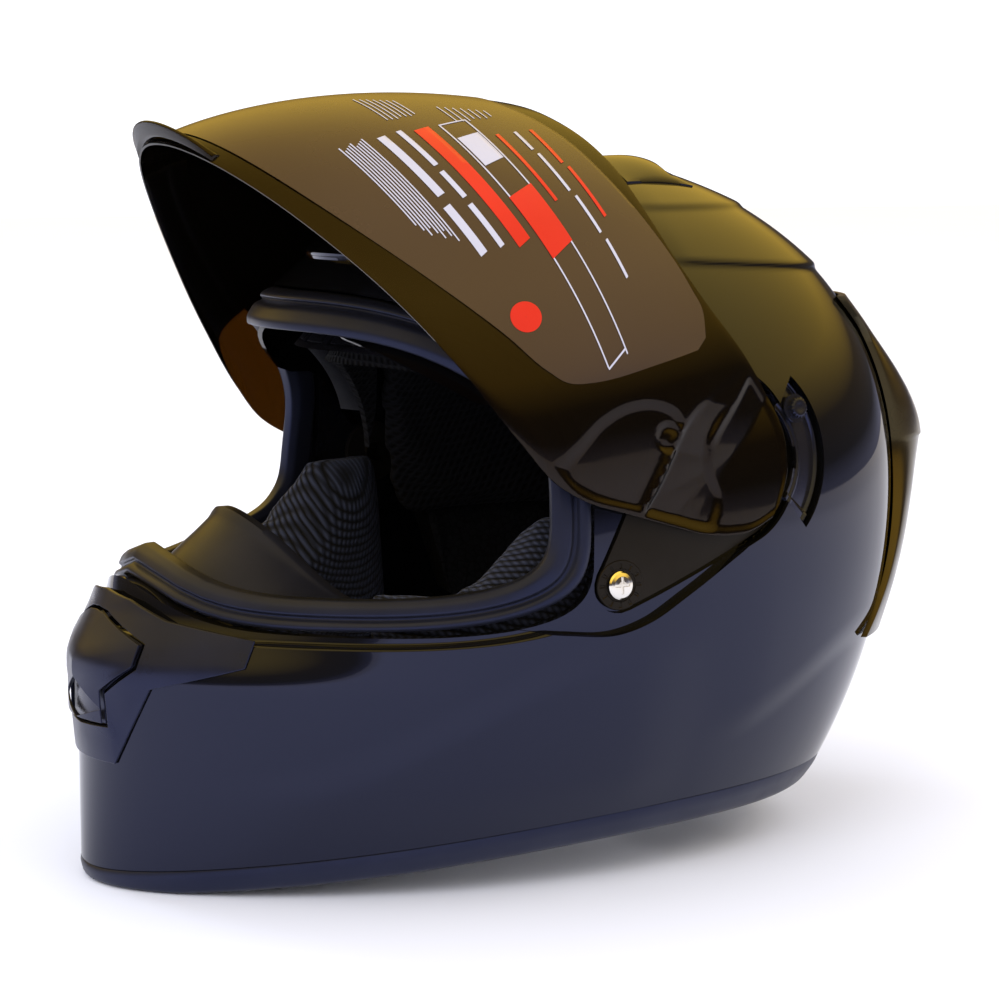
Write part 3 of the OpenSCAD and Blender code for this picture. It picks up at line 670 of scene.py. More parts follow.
def carve(ob, v, f, name):
    """Cuts a closed solid out of the piece."""
    tool = place(name, v, f, ob.data.materials[0])
    b = ob.modifiers.new(name, "BOOLEAN")
    b.operation, b.solver, b.object = "DIFFERENCE", "MANIFOLD", tool
    bake(ob)
    bpy.data.objects.remove(tool)


def side_cutters():
    """The visor's seat, the plate's recess and the turning hole, on the wearer's left."""
    t, j = grid(np.linspace(56, 117, 120), unit(60))
    lo, hi = seat_edges(t)
    z = lo + (hi - lo) * j
    yield slab(sp(t, z, -5), sp(t, z, 3.5))
    f, j = grid(around(200, -360), unit(40))
    q = 4 + (reach(f, PLATE_R, PLATE_FOOT_R) - 4) * j
    y, z = PY + q * cosd(f), PZ + q * sind(f)
    yield slab(xyz(y, z, -5), xyz(y, z, RECESS), True)
    a = around(72)
    yield loft(np.stack([np.stack([np.full(72, x), PY + 14.4 * cosd(a), PZ + 14.4 * sind(a)], -1)
                         for x in (95.0, 140.0)]))


def tidy_faces(v, faces):
    """Drops repeated corners, so that a collapsed quad becomes a triangle."""
    out = []
    for f in faces:
        g = [a for i, a in enumerate(f) if a != f[i - 1]]
        if len(g) > 2:
            out.append(g)
    used = sorted({i for f in out for i in f})
    new = {a: i for i, a in enumerate(used)}
    return np.asarray(v)[used], [[new[i] for i in f] for f in out]


shell = place("shell_skin", *tidy_faces(*build_shell()), M["paint"], replaces=["shell"],
              slot="shell_gloss_black")
for i, (v, f) in enumerate(side_cutters()):
    carve(shell, v, f, "cut_left_%d" % i)
    carve(shell, mirror_x(v), f, "cut_right_%d" % i)
aa, rr = grid(np.linspace(-49, 49, 80), np.linspace(20.6, 36.2, 20))
yy, zz = LY + rr * cosd(aa), LZ + rr * sind(aa)
carve(shell, *slab(xyz(yy, zz, -5), xyz(yy, zz, 4.6)), "cut_lever")
smooth(shell.data, 32)

# ---- port gasket and lower trim
ang = around(420)


def port_ring(k, o):
    """Ring k millimetres inside the port's edge and o below the surface."""
    c, s = cosd(ang), sind(ang)
    e = np.where(s > 0, 2 / 2.7, 2 / 4.4)
    t = PORT_T * np.sign(c) * np.abs(c) ** e * (1 - k / 118)
    h = np.where(s > 0, PORT_UP - k, PORT_DOWN - k)
    z = PORT_Z + h * np.sign(s) * np.abs(s) ** e + np.where(s < 0, 14 * np.exp(-(t / 13) ** 2), 0)
    return sp(t, z, o)


wide = 1 + 0.55 * ease(sind(ang) * 1.6 - 0.15)      # the band is broader over the brow
sunk = 0.5 + 2.5 * ease(-sind(ang) * 2 - 0.6)       # and lies deeper along the chin bar
rows = []
for k, o in rounded([(0.9, 3.4), (1.2, 2.2), (2.6, 1.2), (4.0, 1.7), (4.9, 3.5), (5.8, 3.4), (6.6, 2.0),
                     (9.6, 2.5), (11.6, 4.4), (11.8, 8.5), (9.6, 10.4), (3.2, 10.4), (1.5, 8.0)], 4, 0.8):
    extra = max(0, k - 6)
    rows.append(port_ring(k + extra * (wide - 1), o + sunk + extra * 0.56 * (wide - 1)))
place("eyeport_gasket_ring", *loft(np.stack(rows, 1), True), M["rubber"], replaces=["eyeport_gasket"],
      slot="rubber_black", sharp=50)

tt = around(300)
z1, z0 = seam(tt) - 0.25, foot(tt)
rows = []
for f, o in rounded([(1, 0.35), (1, 5.2), (0.12, 6.3), (0, 4.4), (0, 2.4), (0.16, 0.7),
                     (0.72, -0.35)], 5, 0.9):
    rows.append(sp(tt, z0 + (z1 - z0) * f, o))
place("lower_edge_trim", *loft(np.stack(rows, 1), True), M["trim"], replaces=["base_trim"],
      slot="rubber_black", sharp=50)

# ---- rear spoiler
def spoil(u, z):
    """How far the fin stands out."""
    up = ease((209 - z) / 60)
    dn = np.clip((z - 76) / 74, 0, 1) ** 1.4 * 0.93 + 0.02
    return 0.8 + 21.5 * np.clip(sind(180 * u), 0, 1) ** 0.5 * np.where(z > 150, up, dn)


u = (1 - cosd(np.linspace(0, 180, 90))) / 2
zz = np.concatenate([np.linspace(78, 146.5, 40), [148.4, 149.5, 150.4, 151.6], np.linspace(153, 207, 44)])
uu, zg = grid(u, zz)
half = 26 + 16 * np.maximum(0, (150 - zg) / 72) ** 1.6 + 5 * ease((zg - 189) / 20)
ts = 180 + (2 * uu - 1) * half
v, f = slab(sp(ts, zg, -2.2 - spoil(uu, zg)), sp(ts, zg, -0.9))
place("rear_spoiler_skin", v, f, M["bronze"], replaces=["rear_spoiler"], slot="satin_dark", sharp=28,
      bevel=0.5)

# ---- visor
def sweep_x(y, z, o):
    """Greatest half width the point meets on its way from closed to raised."""
    u, w = y - PY, z - PZ
    return np.max([xs(PY + u * cosd(a) + w * sind(a), PZ - u * sind(a) + w * cosd(a), o)
                   for a in (0, 15, 31, 46)], axis=0)


def vp(t, z, o):
    """Visor surface in the closed place."""
    p = sp0(t, z, o)
    ax = np.abs(p[..., 0])
    x = ax + (sweep_x(p[..., 1], z, o) - ax) * ease((np.abs(t) - 66) / 12)
    return np.stack([np.sign(t) * x, p[..., 1], p[..., 2]], -1)


def poly_dist(y, z, pts):
    """Signed distance to a closed outline in the side view, negative inside."""
    p = np.asarray(pts, float)
    best = np.full(y.shape, 1e9)
    inside = np.zeros(y.shape, bool)
    for i in range(len(p)):
        a, b = p[i - 1], p[i]
        e = b - a
        t = np.clip(((y - a[0]) * e[0] + (z - a[1]) * e[1]) / (e @ e), 0, 1)
        best = np.minimum(best, np.hypot(y - a[0] - t * e[0], z - a[1] - t * e[1]))
        cross = (a[1] > z) != (b[1] > z)
        cut = np.where(cross, a[0] + (z - a[1]) / (e[1] or 1) * e[0], -1e9)
        inside ^= cross & (y < cut)
    return np.where(inside, -best, best)


blade = np.concatenate([smooth_path([(15, 183), (9.5, 169), (6.5, 157), (6.6, 148), (9, 139), (12, 128),
                                     (15, 112)], 30),
                        smooth_path([(42, 126), (36, 140), (25, 145), (18.5, 152), (16.5, 161),
                                     (18.5, 172)], 30)])
hook = np.concatenate([smooth_path([(-24, 102), (-23, 113), (-22.5, 125), (-17.5, 138), (-8, 147.5),
                                    (0, 150.5), (5.5, 149.5)], 36),
                       [(7.5, 140), (10, 132), (14, 113), (-8, 98)]])


def lobe_relief(y, z):
    """Hook-shaped recess, round dimple and slanted blade on the visor's side lobe."""
    d = ease(-poly_dist(y, z, hook) / 4.0)
    r = np.hypot(y - 3.6, z - 140.5)
    d = d + 0.8 * ease((5.6 - r) / 1.6) * (1 - 0.5 * ease((3.4 - r) / 2))
    b = poly_dist(y, z, blade)
    s = 0.72 * (y - 8) - 0.69 * (z - 150)
    run = np.clip((s + 0.42 * np.abs(z - 182)) / 26, 0, 1)
    inb = ease(0.5 - b / 3.2)
    d = d * (1 - inb) + (0.15 + 1.9 * run) * inb
    back = 0.7 * ease((y - 17) / 4) * (1 - inb) * ease((186 - z) / 6)
    return d + back * ease((66 - y) / 6)


VIS_FACE, VIS_BACK = -0.8, 0.45          # the visor's faces as offsets from the plain surface
FILM_FACE, FILM_BACK, PRINT = -1.28, -1.12, -1.5
LOBE_T = 74                              # plan angle where the side lobe's relief starts
s = np.linspace(-1, 1, 401)
tv = np.sign(s) * 115.5 * (1 - (1 - np.abs(s)) ** 1.3)
tq, jq = grid(tv, unit(140))
lo, hi = curve(VIS_LO, tq), curve(VIS_HI, tq)
zq = lo + (hi - lo) * jq
edge = np.minimum(ease((zq - lo) / 5), ease((hi - zq) / 5))
relief = lobe_relief(vp(tq, zq, VIS_FACE)[..., 1], zq) * edge * ease((np.abs(tq) - LOBE_T) / 2)
roll = 0.5 * np.exp(-(zq - lo) / 1.6) + 0.4 * np.exp(-(hi - zq) / 1.6)
outer = vp(tq, zq, VIS_FACE + relief + roll * 0.6)
inner = vp(tq, zq, np.maximum(VIS_BACK, relief - 0.15) - roll * 0.3)
v, f = slab(raised(outer), raised(inner))
place("visor_skin", v, f, M["visor"], "visor_assembly", ["visor"], "smoke_visor", sharp=75, bevel=0.45)

ta = np.linspace(-11.4, 11.4, 61)
tip = 0.6 + 8.6 * np.clip(cosd(ta * 7.8), 0, 1) ** 0.5
sec = rounded([(0, -2.0), (0.35, -2.2), (1, 0.1), (1, 1.4), (0.35, 1.6), (0, 1.5)], 5, 0.8)
rows = [sp0(ta, 112.2 + 1.6 * (1 - q) + w, -0.3 - tip * q) for q, w in sec]
v, f = loft(np.stack(rows, 1))
place("visor_thumb_lip", raised(v), f, M["visor"], "visor_assembly", slot="smoke_visor", sharp=50)

# protective film with plain printed shapes
def film_lo(t):
    return curve(([0, 26, 45, 58, 66, 70, 73, 80, 84],
                  [118, 119, 121.5, 123.5, 124.3, 127, 134, 158, 172]), t)


def film_hi(t):
    return curve(([0, 40, 50, 63, 76.5, 81, 84], [214, 208, 203, 196, 188, 184.5, 178]), t)


tf, jf = grid(np.linspace(-84, 84, 241), unit(60))
zf = film_lo(tf) + (film_hi(tf) - film_lo(tf)) * jf
wave = 0.12 * sind(tf * 9 + zf * 2.3) * np.exp(-np.minimum(zf - film_lo(tf), film_hi(tf) - zf) / 5)
v, f = slab(raised(vp(tf, zf, FILM_FACE - wave)), raised(vp(tf, zf, FILM_BACK - wave)))
place("visor_film_sheet", v, f, M["film"], "visor_assembly", ["visor_film"], "film_brown", sharp=60)


def print_patch(t0, t1, v0, v1, o=PRINT):
    """A thin printed bar on the film, following the bowed print line from plan angle t0 to t1."""
    t, v = grid(np.linspace(t0, t1, int(t1 - t0) + 3), np.linspace(v0, v1, int((v1 - v0) / 2) + 2))
    z = 158.7 - 0.83 * (t - 54) - 0.0063 * (t - 54) ** 2 + v
    return slab(raised(vp(t, z, o)), raised(vp(t, z, o + 0.1)))


def join(parts):
    """Several solids as one mesh."""
    v, f, k = [], [], 0
    for a, b in parts:
        v.append(np.asarray(a).reshape(-1, 3))
        f += [[i + k for i in q] for q in b]
        k += len(v[-1])
    return np.concatenate(v), f


white = [print_patch(*bar) for bar in (
    (22.4, 73, -0.2, 0.4), (22.4, 74, 9.9, 10.5), (22.3, 22.6, 0, 10.5), (73, 73.3, 0, 10.5), (27, 35, 1, 9.6),
    (21, 30.5, -15.0, -13.0), (32, 38, -15.3, -13.3), (39.5, 48, -15.8, -13.6), (21, 35.5, -22.6, -19.4),
    (37.5, 47, -24, -20.8), (29.6, 36, 21.4, 22.6), (37.5, 48, 22, 23.2), (49.5, 57.5, 22.8, 24),
    (59, 66, 23.4, 24.6))]
for i in range(9):
    white.append(print_patch(20 + 0.3 * (i * 5 % 4), 43 - 0.55 * i - 0.8 * (i % 3),
                             -27.4 - 1.15 * i, -26.9 - 1.15 * i))
for i in range(7):
    white.append(print_patch(8 + 0.5 * i, 17.5 + 0.2 * (i % 3), -13 + 1.7 * i, -12.6 + 1.7 * i))
    white.append(print_patch(16 + 0.6 * i, 22.5 + 0.3 * (i % 3), 7 + 2.2 * i, 7.4 + 2.2 * i))
place("film_print_white", *join(white), M["white"], "visor_assembly", slot="film_brown", sharp=60)
red = [print_patch(*bar) for bar in (
    (42.5, 55, -0.4, 10.8, PRINT - 0.05), (22, 50, -9.4, -3.6), (29, 48, 14.4, 15.8), (30, 42, 27.6, 29.0),
    (43.5, 56, 28.6, 30))]
# disc
aa, rr = grid(around(48), 5.6 * np.array([0.02, 0.35, 0.7, 1.0]))
td, zd = 58 + rr * cosd(aa) / 2.3, 133.5 + rr * sind(aa)
red.append(slab(raised(vp(td, zd, PRINT)), raised(vp(td, zd, PRINT + 0.1)), True))
place("film_print_red", *join(red), M["red"], "visor_assembly", slot="film_brown", sharp=60)

# ---- plates under the visor
turn = around(240, -360)
fa, rj = grid(turn, unit(46))
r = 14 + (reach(fa, 31, 8.6) - 14) * rj
yy, zz = PY + r * cosd(fa), PZ + r * sind(fa)
plate = slab(xyz(yy, zz, 3.5), xyz(yy, zz, 4.8), True)
# ring with short ticks round the screw
qa, rs = grid(turn, np.linspace(5.7, 8.9, 26))
yy, zz = SY + rs * cosd(qa), SZ + rs * sind(qa)
tick = ease(1.6 - np.abs((qa + 15) % 30 - 15) / 3.0) * ease((8.1 - rs) * 3) * ease((rs - 5.9) * 4)
up = 0.30 * ease((rs - 5.7) * 4) * ease((8.9 - rs) * 4) - 0.45 * tick
ring = slab(xyz(yy, zz, 3.45 - up), xyz(yy, zz, 4.2), True)
for name, flip in (("left", False), ("right", True)):
    for part, (v, f), old in (("plate_", plate, ["base_plate_" + name]), ("plate_ring_", ring, [])):
        place(part + name, mirror_x(v) if flip else v, f, M["hinge"], replaces=old, slot="hinge_plastic",
              sharp=40)

# ---- chin vent
def tz_solid(pts, faces, base):
    """Facets of (plan angle, height, offset), cut finely and closed at the back on the offset base."""
    p = np.asarray(pts, float)
    bm = bmesh.new()
    vs = [bm.verts.new(q) for q in p]
    for f in faces:
        bm.faces.new([vs[i] for i in f])
    bmesh.ops.triangulate(bm, faces=bm.faces)
    bmesh.ops.subdivide_edges(bm, edges=bm.edges, cuts=3, use_grid_fill=True)
    bm.verts.index_update()
    v = np.array([q.co[:] for q in bm.verts])
    f = [[q.index for q in g.verts] for g in bm.faces]
    rim = [[q.index for q in e.verts] for e in bm.edges if e.is_boundary]
    bm.free()
    k = len(v)
    a = sp(v[:, 0], v[:, 1], v[:, 2])
    b = sp(v[:, 0], v[:, 1], base)
    f = f + [[i + k for i in g[::-1]] for g in f] + [[i, j, j + k, i + k] for i, j in rim]
    return np.concatenate([a, b]), f


def both_sides(pts, faces):
    """Adds the mirror image in t; points on t = 0 are shared."""
    p, twin = list(pts), {}
    for i, (t, z, o) in enumerate(pts):
        twin[i] = i if t == 0 else len(p)
        if t:
            p.append((-t, z, o))
    return p, faces + [[twin[i] for i in f[::-1]] for f in faces]


fr = [(0, 107.0, -1.6), (6, 105.0, -1.6), (12.2, 99.5, -2.0), (24.2, 94.8, -1.1), (23.6, 85.4, -1.1),
      (12, 75.8, -1.3), (7.9, 54.0, -1.3), (6.5, 46.8, -1.2), (0, 46.6, -1.2),
      (0, 100.6, -2.6), (2.4, 100.0, -2.6), (10.6, 91.4, -3.0), (10.3, 82.6, -2.7), (5.6, 72.2, -2.5),
      (6.0, 60.2, -2.4), (0, 59.0, -2.5)]
ff = [[0, 9, 10, 1], [1, 10, 11, 2], [2, 11, 3], [3, 11, 12, 4], [4, 12, 5], [5, 12, 13], [5, 13, 6],
      [6, 13, 14], [6, 14, 7], [7, 14, 15, 8]]
# plain panel that closes the bezel's mouth behind the rocker
well = [(t, z, -1.1) for t, z in ((0, 99.0), (9.6, 90.6), (9.4, 83.2), (4.8, 72.6), (5.2, 60.8), (0, 60.0))]
well = tz_solid(*both_sides(well, [[0, 5, 4, 3], [0, 3, 2, 1]]), -0.4)
place("chin_vent_bezel", *join([tz_solid(*both_sides(fr, ff), -0.3), well]), M["matte"],
      replaces=["chin_vent_frame"], slot="matte_black", sharp=14, bevel=0.35)
rk = [(0, 99.6, -3.4), (2.2, 99.0, -3.4), (10.0, 90.9, -3.8), (9.8, 83.4, -3.5), (5.1, 73.2, -3.5),
      (0, 83.0, -6.4), (5.2, 66.4, -3.5), (0, 75.8, -5.0), (5.4, 61.4, -3.4), (0, 61.2, -4.2)]
kf = [[0, 5, 2, 1], [2, 5, 3], [3, 5, 7, 4], [4, 7, 6], [6, 9, 8]]
v, f = tz_solid(*both_sides(rk, kf), -2.9)
place("chin_vent_rocker", v, f, M["matte"], "chin_vent_shutter", ["chin_vent_slider"], "matte_black",
      sharp=14, bevel=0.3)

# ---- crown vents
def on_top(x, y, o):
    """Point of the crown above (x, y), o millimetres inside the shell."""
    t = np.degrees(np.arctan2(x, YC - y))
    r = np.hypot(x, y - YC)
    lo, hi = np.full(r.shape, 140.0), np.broadcast_to(TOP - o, r.shape).astype(float)
    for _ in range(24):
        mid = (lo + hi) / 2
        out = rad(t, mid, o) > r
        lo, hi = np.where(out, mid, lo), np.where(out, hi, mid)
    return np.stack([x, y, (lo + hi) / 2], -1)


i, j = grid(np.linspace(-4, 4, 33), np.linspace(0, 5, 33))
lift = 1.2 + 2.6 * sind(36 * j) * np.sqrt(np.maximum(0, 1 - (i / 4) ** 2))
x, y = 42 + 3 * i - 1.6 * j, 26 + 7 * j
mouth = 1.1 * ease((j - 3.4) / 0.5) * ease((3.1 - np.abs(i)) * 2)
v, f = slab(on_top(x, y, -lift + mouth), on_top(x, y, np.full(x.shape, -0.4)))
place("crown_vent_scoops", *join([(v, f), (mirror_x(v), f)]), M["paint"], replaces=["crown_vent"],
      slot="shell_gloss_black", sharp=35, bevel=0.3)

# ---- breath guard
tg, jg = grid(np.linspace(-28.8, 28.8, 97), unit(30))
gt = 103 + 30 * np.clip(cosd(tg * 3.1), 0, 1) ** 1.3
zg = 96 + (gt - 96) * jg
lean = 15 + 21 * jg - 2.5 * np.clip(sind(jg * 180), 0, 1)
edge = 1.2 * ease(jg * 9 - 8)
v, f = slab(sp(tg, zg, lean - edge), sp(tg, zg, lean + 2.0))
tb = np.linspace(-27, 27, 73)
bar = rounded([(-1.0, -0.8), (-1.0, 0.8), (1.0, 0.8), (1.0, -0.8)], 4, 0.5)
rail = [loft(np.stack([sp(tb, 98.6 + c, 11.0 + d) for c, d in bar], 1))]
for q in np.linspace(-25, 25, 15):
    tw, zw = grid([q - 0.35, q + 0.35], [97.8, 100.4])
    rail.append(slab(sp(tw, zw, 11.0), sp(tw, zw, 15.6)))
place("breath_guard_bib", *join([(v, f)] + rail), M["guard"], replaces=["breath_guard"], slot="matte_black",
      sharp=40, bevel=0.25)

# ---- sun shield lever
def arc_pt(a, r, o):
    """Point on the lever's arc."""
    return xyz(LY + r * cosd(a), LZ + r * sind(a), o)


aa, rr = grid(np.linspace(-47, 47, 96), np.linspace(34.9, 21.6, 28))
ridge = (0.5 * ease(1 - np.abs(rr - 24.4) / 0.9) + 0.9 * ease((rr - 33.4) * 1.2)
         + 0.7 * ease((22.9 - rr) * 1.2) + 1.1 * ease((-aa - 40) / 2))
v, f = slab(arc_pt(aa, rr, 3.3 - ridge), arc_pt(aa, rr, 4.5))
place("lever_guide", v, f, M["gloss_in"], replaces=["sun_lever_track"], slot="matte_black", sharp=40,
      bevel=0.15)
p, mid, low = (arc_pt(a, LR, 0) for a in (LA, 0, -LA))
u = np.cross(mid - low, p - low)
u /= np.linalg.norm(u)
e1 = np.cross(u, [0, 0, 1.0])
e1 /= np.linalg.norm(e1)
e2 = np.cross(u, e1)
ka = around(96)
rows = []
for h, r, notch in [(-1.9, 5.2, 0), (-1.0, 5.4, 0), (-0.7, 5.2, 0), (-0.7, 3.8, 0), (0.2, 3.6, 0.16),
                    (1.3, 3.6, 0.16), (1.65, 3.3, 0.1), (1.8, 2.6, 0), (1.6, 1.6, 0), (1.55, 0.1, 0)]:
    w = r + notch * np.sign(sind(ka * 16))
    rows.append(p + u * h + w[:, None] * (cosd(ka)[:, None] * e1 + sind(ka)[:, None] * e2))
v, f = loft(np.stack(rows, 0))
place("lever_knob", v, f, M["gloss_in"], "sun_lever_body", ["sun_lever"], "matte_black", sharp=35)

# ---- soft goods
VOXEL, CLOTH_FRAMES = 4.5, 20


def inflate(ob, cap):
    """Remeshes a closed solid, swells it by cloth pressure, but no further than cap millimetres."""
    rm = ob.modifiers.new("remesh", "REMESH")
    rm.mode = "VOXEL"
    rm.voxel_size = VOXEL / 1000
    sm = ob.modifiers.new("relax", "SMOOTH")
    sm.factor, sm.iterations = 0.5, 4
    me = bake(ob)
    rest = np.zeros(len(me.vertices) * 3)
    me.vertices.foreach_get("co", rest)
    cl = ob.modifiers.new("swell", "CLOTH")
    st = cl.settings
    st.quality = 4
    st.mass = 0.2
    st.use_pressure = True
    st.uniform_pressure_force = 4.0
    st.tension_stiffness = st.compression_stiffness = 12
    st.bending_stiffness = 0.6
    st.effector_weights.gravity = 0
    cl.collision_settings.use_collision = False
    for i in range(CLOTH_FRAMES):
        scene.frame_set(i + 1)
    new = evaluated(ob)
    co = np.zeros(len(new.vertices) * 3)
    new.vertices.foreach_get("co", co)
    ob.modifiers.clear()
    if len(co) == len(rest):
        d = (co - rest).reshape(-1, 3)
        l = np.linalg.norm(d, axis=1)[:, None]
        d = d * np.minimum(1, cap / 1000 / np.maximum(l, 1e-9))
        me.vertices.foreach_set("co", (rest.reshape(-1, 3) + d).ravel())
    scene.frame_set(1)
    me.polygons.foreach_set("use_smooth", [True] * len(me.polygons))
    s = ob.modifiers.new("sub", "SUBSURF")
    s.levels = s.render_levels = 1


def foam_out(t):
    """How much thicker the foam is away from the back."""
    return 5.8 + 12.2 * ease((140 - np.abs(side_deg(t))) / 13)


def dome(t, z0, o, crown):
    """Cap from height z0 up to the crown, o millimetres inside the shell and crown at the top."""
    j = unit(CAP_ROWS + 1)
    d = o[:, None] + (crown - o[:, None]) * j ** 3
    top = TOP - d
    z = z0[:, None] + (top - z0[:, None]) * sind(88.5 * j)
    z[:, -1] = TOP - crown - 0.06
    return sp(t[:, None], z, d)


def lined(name, v, f, mat, node, slot, cap):
    ob = place(name, v, f, M[mat], replaces=[node], slot=slot)
    inflate(ob, cap)
    ob.data.materials.clear()
    ob.data.materials.append(M[mat])


CAP_COLS, CAP_ROWS, CAP_OUT = 120, 30, 34.8
tc = np.linspace(-180, 180, CAP_COLS, endpoint=False)
low = 108 + 99 * ease((90 - np.abs(tc)) / 30)
a = dome(tc, low + 1, CAP_OUT + 1.2 + foam_out(tc) * 0.2, CAP_OUT + 5.3)
b = dome(tc, low + 1, CAP_OUT + 7.6 + foam_out(tc) * 0.2, CAP_OUT + 11.4)
v, f = slab(a, b, True)
# the top is closed by one face on each side instead of the slab's rim
k = len(v) // 2
last = [i * (CAP_ROWS + 1) + CAP_ROWS for i in range(CAP_COLS)]
rim = set(last)
f = [q for q in f if not all(w % k in rim for w in q)] + [last, [k + i for i in last]]
lined("crown_lining", v, f, "mesh", "crown_pad", "knit_black", 2.2)

uu, vv = grid(unit(40), unit(30))
swell = 21.5 * (1 - (2 * uu - 1) ** 4) * (1 - (2 * vv - 1) ** 4)
tc = 35 + 52 * uu
zc = 43.5 + (67.5 + 26 * ease((54 * uu - 12) / 24)) * vv
v, f = slab(sp(tc, zc, 20.3), sp(tc, zc, 24 + swell))
lined("cheek_pad_l", v, f, "knit", "cheek_pad_left", "knit_black", 5.0)
lined("cheek_pad_r", mirror_x(v), f, "knit", "cheek_pad_right", "knit_black", 5.0)

i = unit(140)
tn = 66 + 228 * i
c = sp(tn, foot(tn) + 11, 22.5)
full = 0.43 + 0.53 * np.clip(sind(180 * i), 0, 1) ** 0.35      # thinner towards both ends
rows = [c + np.stack([sind(tn) * full * 10.6 * cosd(a), -cosd(tn) * full * 10.6 * cosd(a),
                      full * 12 * sind(a)], -1) for a in range(0, 360, 15)]
lined("neck_roll_padding", *loft(np.stack(rows, 1)), "lining", "neck_roll", "brushed_lining", 3.0)

def brow_z(t, drop):
    """Height of the brow band's lower edge."""
    return port_hi(t) - drop + 5 * (t / 58) ** 2


# brow band: leather-look strip with embossed outlines
tb, jb = grid(np.linspace(-72, 72, 301), unit(34))
zb = brow_z(tb, 23) + 12 * jb
cell = (tb / 12 + 0.5) % 1 - 0.5
box = np.maximum(np.abs(cell) * 26 - 9.5, (np.abs(jb - 0.5) * 2 - 0.62) * 14)
emboss = 0.7 * ease(1 - np.abs(box) / 0.8)
v, f = slab(sp(tb, zb, 27.2 - 2 * jb + emboss), sp(tb, zb, 38.4 + 5 * jb))
ob = place("brow_band_strip", v, f, M["leather"], replaces=["brow_band"], slot="brow_leatherette", sharp=60)
tb, jb = grid(np.linspace(-74, 74, 201), unit(12))
zb = brow_z(tb, 29) + 16 * jb
v, f = slab(sp(tb, zb, 39.5 - 0.5 * jb + 1.5 * (2 * jb - 1) ** 2), sp(tb, zb, 43.5 + 0.5 * jb))
ob = place("brow_band_mesh", v, f, M["mesh"], slot="knit_black", sharp=60)

# ---- chin strap
STRAP_Y = 16.0                  # front edge of the webbing


def strap(pts, n=120, mirror=False):
    """Webbing along a path given in x and z."""
    path = smooth_path(pts, n)
    tan = np.gradient(path, axis=0)
    tan /= np.linalg.norm(tan, axis=1)[:, None]
    nor = np.stack([tan[:, 1], -tan[:, 0]], -1)
    rows = []
    for w, h in rounded([(0, -0.9), (24, -0.9), (24, 0.9), (0, 0.9)], 5, 0.7):
        p = path + nor * h
        rows.append(np.stack([p[:, 0], np.full(n, STRAP_Y + w), p[:, 1]], -1))
    v, f = loft(np.stack(rows, 1))
    return (mirror_x(v) if mirror else v), f


top = [(104.5, 66), (103.8, 60), (102.5, 53), (96, 49.5), (86, 48.5)]
short = top + [(77, 48), (69, 45.5), (64, 40), (62.5, 31.2)]
long = top + [(78, 47), (72, 43), (67, 34), (60, 25), (50, 18.5), (37, 14.5), (22, 13), (8, 14), (-6, 17)]
for name, path, old in (("strap_l", strap(short), "strap_left"),
                        ("strap_r", strap(long, 200, True), "strap_right")):
    place(name, *path, M["web"], replaces=[old], slot="webbing_black", sharp=60)

# ---- CAD nodes that stay
KEEP = {"eps_liner": "foam", "chin_foam": "foam", "pivot_sockets": "hinge", "visor_spigots": "hinge",
        "base_plate_screws": "steel", "sun_shield": "shade", "sun_shield_hubs": "hinge",
        "sun_shield_pins": "steel", "strap_rivets": "steel", "strap_ring_sleeve": "web",
        "strap_ring_outer": "steel", "strap_ring_inner": "steel"}
for name, mat in KEEP.items():
    me = nodes[name].data
    me.materials.clear()
    me.materials.append(M[mat])
    smooth(me, 30)

# ---- floor, light and camera
FLOOR_COLOR, FLOOR_Z, FLOOR_HALF = (0.80, 0.83, 0.95), -0.0002, 9
pale = Mat("floor_pale", FLOOR_COLOR, 0.9)
pale.color(pale.ramp(pale.noise(3, 2), 0.3, 0.7, FLOOR_COLOR, tuple(c * 1.01 for c in FLOOR_COLOR)))
me = bpy.data.meshes.new("floor")
me.from_pydata([(x * FLOOR_HALF, y * FLOOR_HALF, FLOOR_Z) for x, y in ((-1, -1), (1, -1), (1, 1), (-1, 1))],
               [], [[0, 1, 2, 3]])
me.materials.append(pale.m)
floor = bpy.data.objects.new("floor", me)
scene.collection.objects.link(floor)

world = bpy.data.worlds.new("studio")
scene.world = world
world.use_nodes = True
nt = world.node_tree
nt.nodes.clear()


def wnode(kind, inputs=None, **props):
    return add_node(nt, kind, inputs, **props)


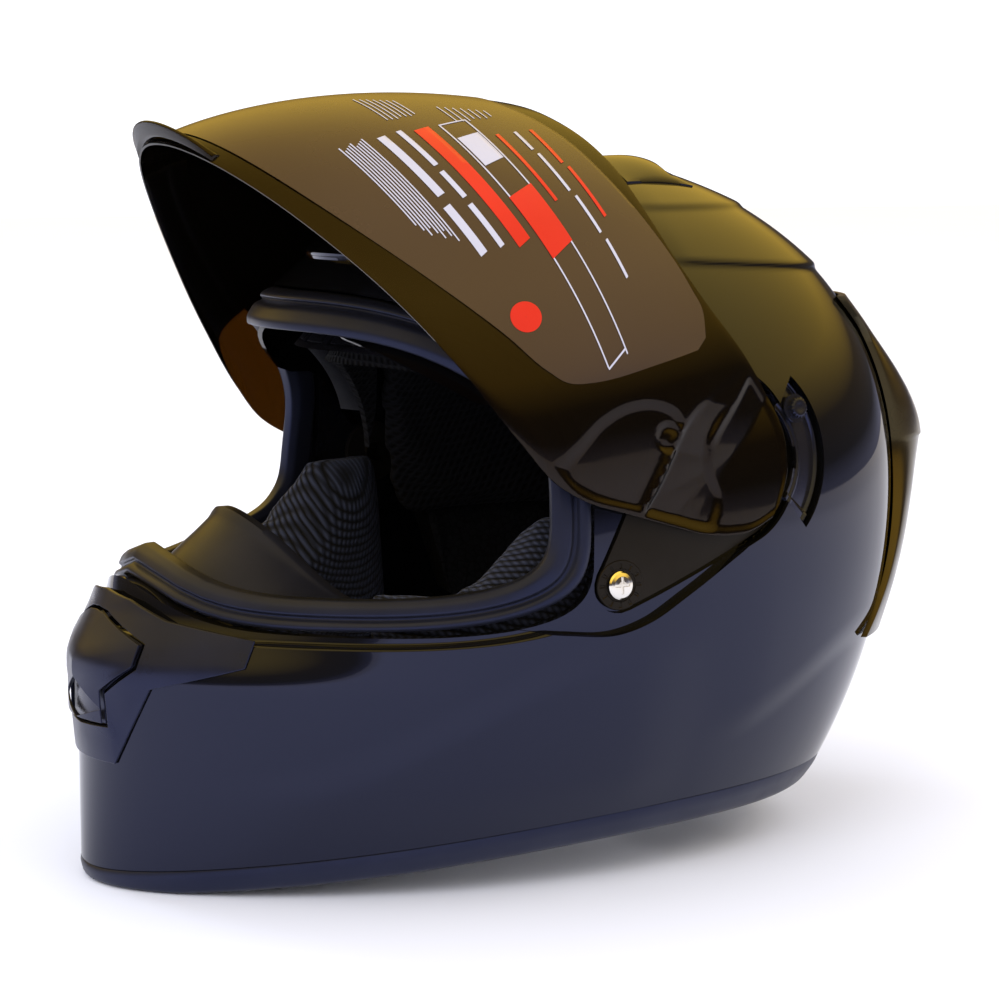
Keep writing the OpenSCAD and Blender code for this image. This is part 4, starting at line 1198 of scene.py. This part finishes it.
direction = wnode("SeparateXYZ", {0: wnode("TexCoord").outputs["Generated"]}).outputs[2]
sky = wnode("ValToRGB", {"Fac": direction})
sky.color_ramp.elements[0].color = (0.12, 0.12, 0.16, 1)
sky.color_ramp.elements[1].color = (0.62, 0.40, 0.06, 1)
for pos, col in ((0.06, (0.03, 0.028, 0.03)), (0.18, (0.05, 0.035, 0.02)), (0.34, (0.50, 0.32, 0.05)),
                 (0.75, (0.78, 0.52, 0.09))):
    e = sky.color_ramp.elements.new(pos)
    e.color = (*col, 1)
# reflections see the warm ramp; the camera and diffuse light see plain white
gold = wnode("MixRGB", {"Fac": 1.0, "Color1": sky.outputs[0], "Color2": (2.6, 2.6, 2.6, 1)},
             blend_type="MULTIPLY")
plain = wnode("RGB")
plain.outputs[0].default_value = (1.34, 1.34, 1.38, 1)
path = wnode("LightPath")
seen = wnode("Math", {0: path.outputs["Is Diffuse Ray"], 1: path.outputs["Is Camera Ray"]},
             operation="MAXIMUM")
mix = wnode("MixRGB", {"Fac": seen.outputs[0], "Color1": gold.outputs[0], "Color2": plain.outputs[0]})
bg = wnode("Background", {"Color": mix.outputs[0], "Strength": 1.0})
nt.links.new(bg.outputs[0], wnode("OutputWorld").inputs["Surface"])


def area(name, loc, size, power, color):
    """Soft light aimed at the middle of the helmet."""
    d = bpy.data.lights.new(name, "AREA")
    d.shape = "RECTANGLE"
    d.size, d.size_y = size
    d.energy = power
    d.color = color
    o = bpy.data.objects.new(name, d)
    o.location = loc
    o.rotation_euler = (Vector((0, 0, 0.15)) - Vector(loc)).to_track_quat("-Z", "Y").to_euler()
    o.visible_glossy = False
    scene.collection.objects.link(o)


area("key_soft", (0.9, -1.6, 1.5), (1.2, 1.2), 12, (0.93, 0.96, 1.0))
area("rim_cool", (-1.6, -0.7, 0.7), (0.5, 1.0), 9, (0.85, 0.92, 1.0))
area("back_warm", (0.8, 1.7, 1.3), (1.4, 1.0), 10, (1.0, 0.86, 0.6))

cam = bpy.data.cameras.new("camera")
cam.sensor_width = 36
cam.lens = 87.21
cam.shift_x, cam.shift_y = 0.0065, 0.016
cam.clip_start, cam.clip_end = 0.01, 50
co = bpy.data.objects.new("camera", cam)
az, el = 60.0, 8.5
back = Vector((sind(az) * cosd(el), -cosd(az) * cosd(el), sind(el)))
co.location = Vector((0, 0, 0.121)) + back * 0.95
co.rotation_euler = back.to_track_quat("Z", "Y").to_euler()
scene.collection.objects.link(co)
scene.camera = co
scene.view_settings.view_transform = "Standard"
